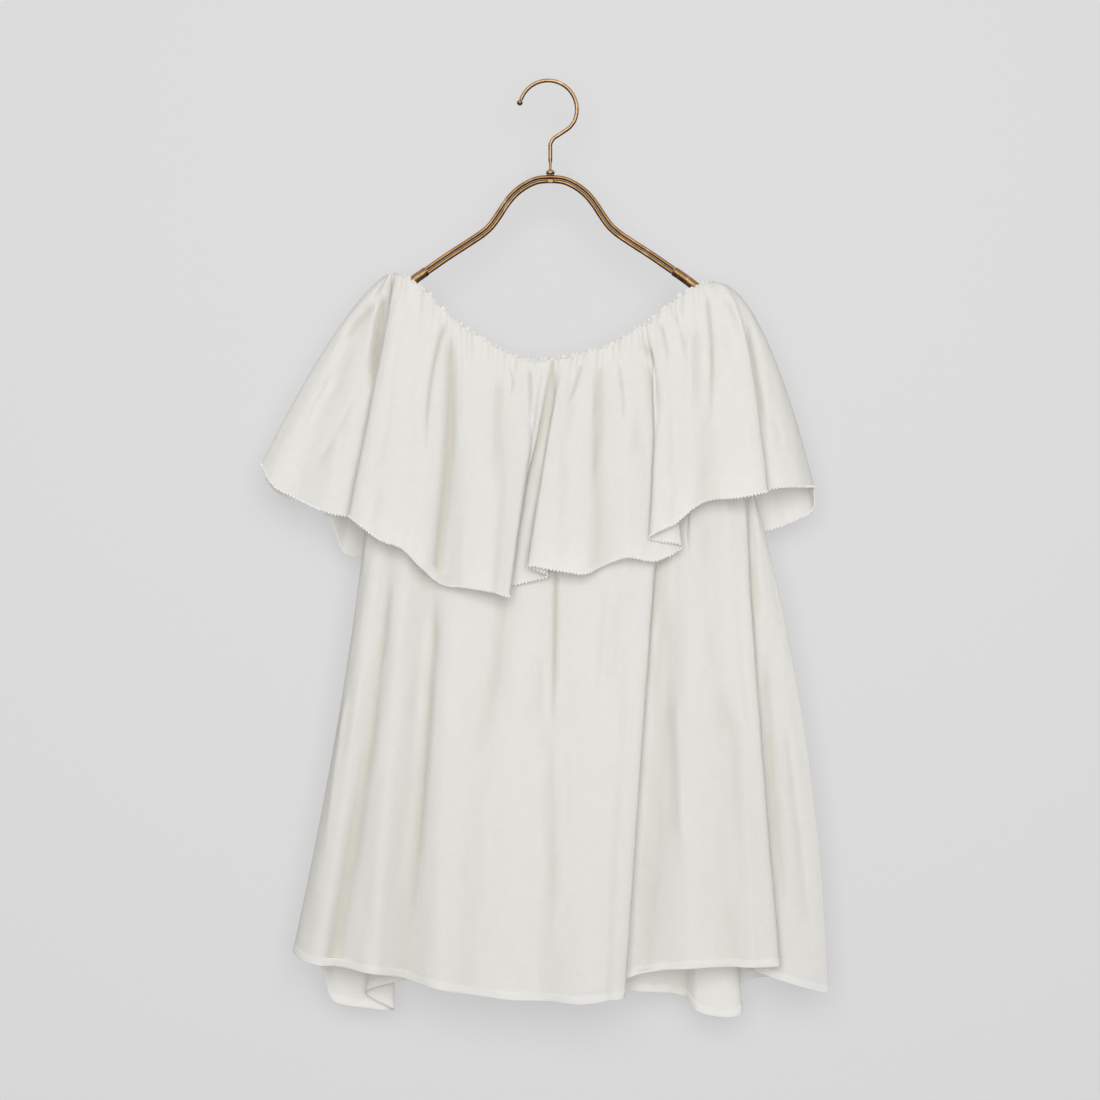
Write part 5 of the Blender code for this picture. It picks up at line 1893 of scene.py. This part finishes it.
@dataclass
class Hanger:
    """Hook, stem nut, two rods, rivet and end sleeves, in antique brass."""

    finishes: Finishes

    WIRE_RADIUS: float = 2.0
    HOOK_RADIUS: float = 28.8
    HOOK_ARC: tuple[float, float] = (160.0, -26.0)
    HOOK_STEPS: int = 72
    HOOK_BEND_START: float = 0.4
    BEND_STEPS: int = 36
    BALL_RADIUS: float = 3.0
    BALL_RINGS: int = 18
    STEM_TAPER: float = 0.62
    STEM_TAPER_LEVELS: tuple[float, float] = (-78.0, -81.0)
    ROD_RADIUS: float = 2.0
    ROD_GAP: float = 0.3
    ROD_STEPS: int = 150
    NUT_RADIUS: float = 4.4
    NUT_RINGS: int = 16
    NUT: Profile = ((0.8, 0.0), (1.0, 0.9), (1.0, 2.6), (0.82, 4.2), (0.43, NUT_HEIGHT))
    SLEEVE_RADIUS: float = 4.8
    SLEEVE_STRAIGHT: float = 14.0
    SLEEVE_STEPS: int = 44
    SLEEVE_LIP: tuple[float, float, float] = (0.86, 0.97, 1.0)
    SLEEVE_BEND: Profile = ((147.0, 3.6), (152.5, 0.0))
    SLEEVE_END: float = 160.7
    SLEEVE_LEVEL: float = -209.0
    SLEEVE_TIP: Profile = ((2.6, 1.0), (1.6, 0.96), (0.8, 0.82), (0.2, 0.6), (0.0, 0.48))
    BAR_SIDES: int = 24
    TURNED_SIDES: int = 32
    CRISP_ANGLE: float = 48.0

    def keep(self, piece: bpy.types.Object, node: str) -> None:
        """Hides the CAD node that a piece stands for, and attaches the piece to the body.

        Args:
            piece: The piece.
            node: Name of the node.
        """
        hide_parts(node)
        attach(piece, BODY)

    def bar(
        self,
        tool: NodeTool,
        name: str,
        node: str,
        rows: Sequence[WireRow],
        finish: bpy.types.Material,
    ) -> None:
        """One round bar along its rows, in the plane of the hanger.

        Args:
            tool: Tool for round bars.
            name: Name of the piece.
            node: CAD node that it stands for.
            rows: Points of its middle line.
            finish: Its material.
        """
        points = np.array([(row.x, 0.0, row.z) for row in rows])
        girth = np.array([row.radius for row in rows]) * MM
        guide = guide_mesh(name, points, girth=girth)
        self.keep(tool.run(name, guide, Sides=self.BAR_SIDES, Material=finish), node)

    def hook_rows(self) -> list[WireRow]:
        """The hook's wire from its open end round the crook and down the stem.

        Returns:
            Points of its middle line.
        """
        centre_z = self.WIRE_RADIUS - self.HOOK_RADIUS
        path = [
            (self.HOOK_RADIUS * math.cos(a), centre_z + self.HOOK_RADIUS * math.sin(a))
            for a in np.radians(np.linspace(*self.HOOK_ARC, self.HOOK_STEPS))
        ]
        bend = [path[-1], *HOOK_BEND]
        places = np.linspace(self.HOOK_BEND_START, len(bend) - 1, self.BEND_STEPS)
        path += [tuple(point) for point in smooth_curve(range(len(bend)), bend, places)]
        path.append((STEM_X, self.STEM_TAPER_LEVELS[0]))
        foot = ARCH_TOP + SEAM_GAP + NUT_HEIGHT + SEAM_GAP
        rows = [WireRow(x, z, self.WIRE_RADIUS) for x, z in path]
        for level in (self.STEM_TAPER_LEVELS[1], foot):
            rows.append(WireRow(STEM_X, level, self.WIRE_RADIUS * self.STEM_TAPER))
        return rows

    def arm_line(self) -> np.ndarray:
        """Middle line of the rod pair, from the left sleeve over the arch to the right one.

        Returns:
            Pairs of x and z.
        """
        arch = ARCH_TOP - 2 * self.ROD_RADIUS - self.ROD_GAP / 2
        right = np.array(ARM) + (0.0, arch)
        whole = np.vstack([right[:0:-1] * (-1.0, 1.0), right])
        run = running_length(whole)
        places = np.linspace(0.0, run[-1], self.ROD_STEPS)
        return smooth_curve(run, whole, places) + (STEM_X, 0.0)

    def sleeve_rows(self, way: float, foot: np.ndarray, inner: np.ndarray) -> list[WireRow]:
        """Middle line of one end sleeve.

        Args:
            way: -1 for the left sleeve, 1 for the right one.
            foot: Last point of the rods.
            inner: Point before it.

        Returns:
            Points of its middle line.
        """
        level = self.SLEEVE_LEVEL
        direction = unit(foot - inner)
        start = foot + direction * SEAM_GAP
        knots = [start, start + direction * self.SLEEVE_STRAIGHT]
        knots += [(STEM_X + way * reach, level + rise) for reach, rise in self.SLEEVE_BEND]
        knots.append((STEM_X + way * self.SLEEVE_END, level))
        places = np.linspace(0.0, len(knots) - 2, self.SLEEVE_STEPS)
        path = smooth_curve(range(len(knots)), knots, places)
        lip = np.interp(np.arange(len(path)), (0, 1, 2), self.SLEEVE_LIP) * self.SLEEVE_RADIUS
        rows = [WireRow(x, z, radius) for (x, z), radius in zip(path, lip)]
        for back, share in self.SLEEVE_TIP:
            end = STEM_X + way * (self.SLEEVE_END - back)
            rows.append(WireRow(end, level, self.SLEEVE_RADIUS * share))
        return rows

    def turned(
        self,
        name: str,
        node: str,
        profile: Sequence[tuple[float, float]],
        centre: tuple[float, float, float],
        finish: bpy.types.Material,
    ) -> None:
        """A solid turned about the upright through centre, from (radius, height) pairs.

        Args:
            name: Name of the piece.
            node: CAD node that it stands for.
            profile: The pairs, from below.
            centre: Where height 0 is.
            finish: Its material.
        """
        sides = self.TURNED_SIDES
        points, faces = [], []
        for radius, height in profile:
            for k in range(sides):
                angle = 2 * math.pi * k / sides
                place = (radius * math.cos(angle), radius * math.sin(angle), height)
                points.append(tuple(np.add(centre, place) * MM))
        for i in range(len(profile) - 1):
            for k in range(sides):
                following = (k + 1) % sides
                low, high = i * sides, (i + 1) * sides
                faces.append([low + k, low + following, high + following, high + k])
        faces.append(list(range(sides))[::-1])
        faces.append([(len(profile) - 1) * sides + k for k in range(sides)])
        mesh = bpy.data.meshes.new(name)
        mesh.from_pydata(points, [], faces)
        mesh.shade_smooth()
        mesh.set_sharp_from_angle(angle=math.radians(self.CRISP_ANGLE))
        self.keep(linked(name, mesh, finish), node)

    def build(self) -> None:
        """Builds the bars and the small turned parts, and dresses the rivet."""
        tool = bar_tool()
        brass, stem = self.finishes.brass, self.finishes.stem_brass
        hook = self.hook_rows()
        self.bar(tool, "hook_wire", "hanger_hook", hook, stem)
        line = self.arm_line()
        along = unit(np.gradient(line, axis=0))
        across = np.stack([-along[:, 1], along[:, 0]], axis=1)
        across *= self.ROD_RADIUS + self.ROD_GAP / 2
        for name, offset in (("upper", across), ("lower", -across)):
            rows = [WireRow(x, z, self.ROD_RADIUS) for x, z in line + offset]
            self.bar(tool, f"{name}_rod", f"hanger_rod_{name}", rows, brass)
        for name, way, ends in (("left", -1.0, line[:2]), ("right", 1.0, line[:-3:-1])):
            rows = self.sleeve_rows(way, *ends)
            self.bar(tool, f"{name}_sleeve", f"hanger_sleeve_{name}", rows, brass)
        angle = math.radians(self.HOOK_ARC[0])
        reach = self.BALL_RADIUS + SEAM_GAP
        ball = (hook[0].x - reach * math.sin(angle), 0.0, hook[0].z + reach * math.cos(angle))
        rounds = [math.pi * (k + 0.5) / self.BALL_RINGS for k in range(self.BALL_RINGS)]
        globe = [(self.BALL_RADIUS * math.sin(a), -self.BALL_RADIUS * math.cos(a)) for a in rounds]
        self.turned("hook_ball_end", "hook_ball", globe, ball, brass)
        heights = np.linspace(0.0, NUT_HEIGHT, self.NUT_RINGS)
        known, shares = [height for _, height in self.NUT], [share for share, _ in self.NUT]
        radii = self.NUT_RADIUS * np.interp(heights, known, shares)
        foot = (STEM_X, 0.0, ARCH_TOP + SEAM_GAP)
        self.turned("nut_dome", "stem_nut", list(zip(radii, heights)), foot, stem)
        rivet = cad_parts["arch_rivet"]
        rivet.data.materials.clear()
        rivet.data.materials.append(brass)


@dataclass
class Studio:
    """Pale backdrop and floor, soft lights and the camera."""

    CAMERA_DISTANCE: float = 2.3
    FIELD: float = 1.1
    SENSOR: float = 36.0
    CENTRE: tuple[float, float] = (0.002, -0.4675)
    WALL_Y: float = 0.07
    WALL_TOP: float = 1.4
    FLOOR_Z: float = -1.16
    HALF_WIDTH: float = 2.2
    FLOOR_NEAR: float = -2.6
    WALL_COLOUR: Colour = (0.26, 0.259, 0.26)
    GLOW_COLOUR: Colour = (1.0, 0.997, 1.0)
    WALL_GLOW: float = 0.42
    WORLD: float = 0.36
    BACKGROUND: float = 0.7
    KEY_WATTS: float = 72.0
    KEY_PLACE: tuple[float, float, float] = (0.05, -2.65, 0.05)
    REAR_WATTS: float = 16.0
    REAR_PLACE: tuple[float, float, float] = (-0.5, 2.5, 0.35)
    LIGHT_SIZE: float = 2.0
    LIGHTS_AIM: tuple[float, float, float] = (0.0, 0.0, -0.5)
    MIRROR: tuple[float, float, float, float] = (-0.15, 0.75, 0.2, 1.7)

    def plane(
        self, name: str, corners: list[tuple[float, float, float]], finish: bpy.types.Material
    ) -> None:
        """One flat piece of the set, which only the camera sees.

        Args:
            name: Name of the plane.
            corners: Its four corners in metres.
            finish: Its material.
        """
        mesh = bpy.data.meshes.new(name)
        mesh.from_pydata(corners, [], [(0, 1, 2, 3)])
        obj = linked(name, mesh, finish)
        for ray in ("shadow", "diffuse", "glossy", "transmission"):
            setattr(obj, f"visible_{ray}", False)
        obj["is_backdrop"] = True

    def paint(self) -> bpy.types.Material:
        """Matt paint that is clear from behind, so that no view of the back is blocked.

        Returns:
            The material.
        """
        made, make, shader = new_material("set paint")
        make.set(shader, (*self.WALL_COLOUR, 1.0), Roughness=0.95, Specular_IOR_Level=0.1)
        make.set(shader, Emission_Color=(*self.GLOW_COLOUR, 1.0), Emission_Strength=self.WALL_GLOW)
        behind = make.node("ShaderNodeNewGeometry").outputs["Backfacing"]
        blend_into(make, behind, shader, make.node("ShaderNodeBsdfTransparent"))
        return made

    def area_light(self, name: str, place: tuple[float, float, float], watts: float) -> None:
        """A square soft light that faces the top.

        Args:
            name: Name of the light.
            place: Where it stands.
            watts: Its power.
        """
        data = bpy.data.lights.new(name, "AREA")
        data.shape = "SQUARE"
        data.size = self.LIGHT_SIZE
        data.energy = watts
        obj = bpy.data.objects.new(name, data)
        obj.location = place
        heading = Vector(self.LIGHTS_AIM) - Vector(place)
        obj.rotation_euler = heading.to_track_quat("-Z", "Y").to_euler()
        bpy.context.scene.collection.objects.link(obj)

    def surround(self) -> bpy.types.World:
        """Even light, with a mirrored upper half that is brighter than the lower one.

        Returns:
            The world.
        """
        world = bpy.data.worlds.new("soft surround")
        world.use_nodes = True
        make = GroupBuilder(world.node_tree)
        way = make.node("ShaderNodeTexCoord").outputs["Generated"]
        height = make.node("ShaderNodeSeparateXYZ", way).outputs["Z"]
        above = make.out(
            "ShaderNodeMapRange", height, *self.MIRROR, interpolation_type="SMOOTHSTEP"
        )
        path = make.node("ShaderNodeLightPath").outputs
        mirrored = make.math("SUBTRACT", above, self.WORLD)
        share = make.math("MULTIPLY", path["Is Glossy Ray"], mirrored)
        behind = make.math("MULTIPLY", path["Is Camera Ray"], self.BACKGROUND - self.WORLD)
        strength = make.math("ADD", make.math("ADD", share, behind), self.WORLD)
        make.set(world.node_tree.nodes["Background"], (1.0, 1.0, 1.0, 1.0), strength)
        return world

    def camera(self) -> bpy.types.Object:
        """A level camera straight in front of the top.

        Returns:
            The camera.
        """
        data = bpy.data.cameras.new("camera")
        data.sensor_width = self.SENSOR
        data.lens = self.SENSOR * self.CAMERA_DISTANCE / self.FIELD
        camera = bpy.data.objects.new("camera", data)
        camera.location = (self.CENTRE[0], -self.CAMERA_DISTANCE, self.CENTRE[1])
        camera.rotation_euler = (math.radians(90.0), 0.0, 0.0)
        bpy.context.scene.collection.objects.link(camera)
        return camera

    def build(self) -> None:
        """Sets up the whole studio."""
        paint = self.paint()
        half, wall, floor = self.HALF_WIDTH, self.WALL_Y, self.FLOOR_Z
        near, far, high = self.FLOOR_NEAR, self.HALF_WIDTH, self.WALL_TOP
        for name, (near_y, near_z), (far_y, far_z) in (
            ("backdrop", (wall, floor), (wall, high)),
            ("floor", (near, floor), (far, floor)),
        ):
            corners = [(-half, near_y, near_z), (half, near_y, near_z)]
            corners += [(half, far_y, far_z), (-half, far_y, far_z)]
            self.plane(name, corners, paint)
        self.area_light("key_light", self.KEY_PLACE, self.KEY_WATTS)
        self.area_light("rear_light", self.REAR_PLACE, self.REAR_WATTS)
        scene = bpy.context.scene
        scene.world = self.surround()
        scene.view_settings.view_transform = "Standard"
        scene.view_settings.look = "None"
        scene.camera = self.camera()


def main() -> None:
    """Builds the set, the hanger and the top, and reports each piece."""
    logging.basicConfig(level=logging.INFO, format="%(message)s")
    Studio().build()
    finishes = Finishes()
    hanger = Hanger(finishes)
    hanger.build()
    top = OffShoulderTop(finishes)
    top.build()
    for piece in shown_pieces():
        LOG.info("%s: %d faces", piece.name, len(piece.data.polygons))


if __name__ == "__main__":
    main()
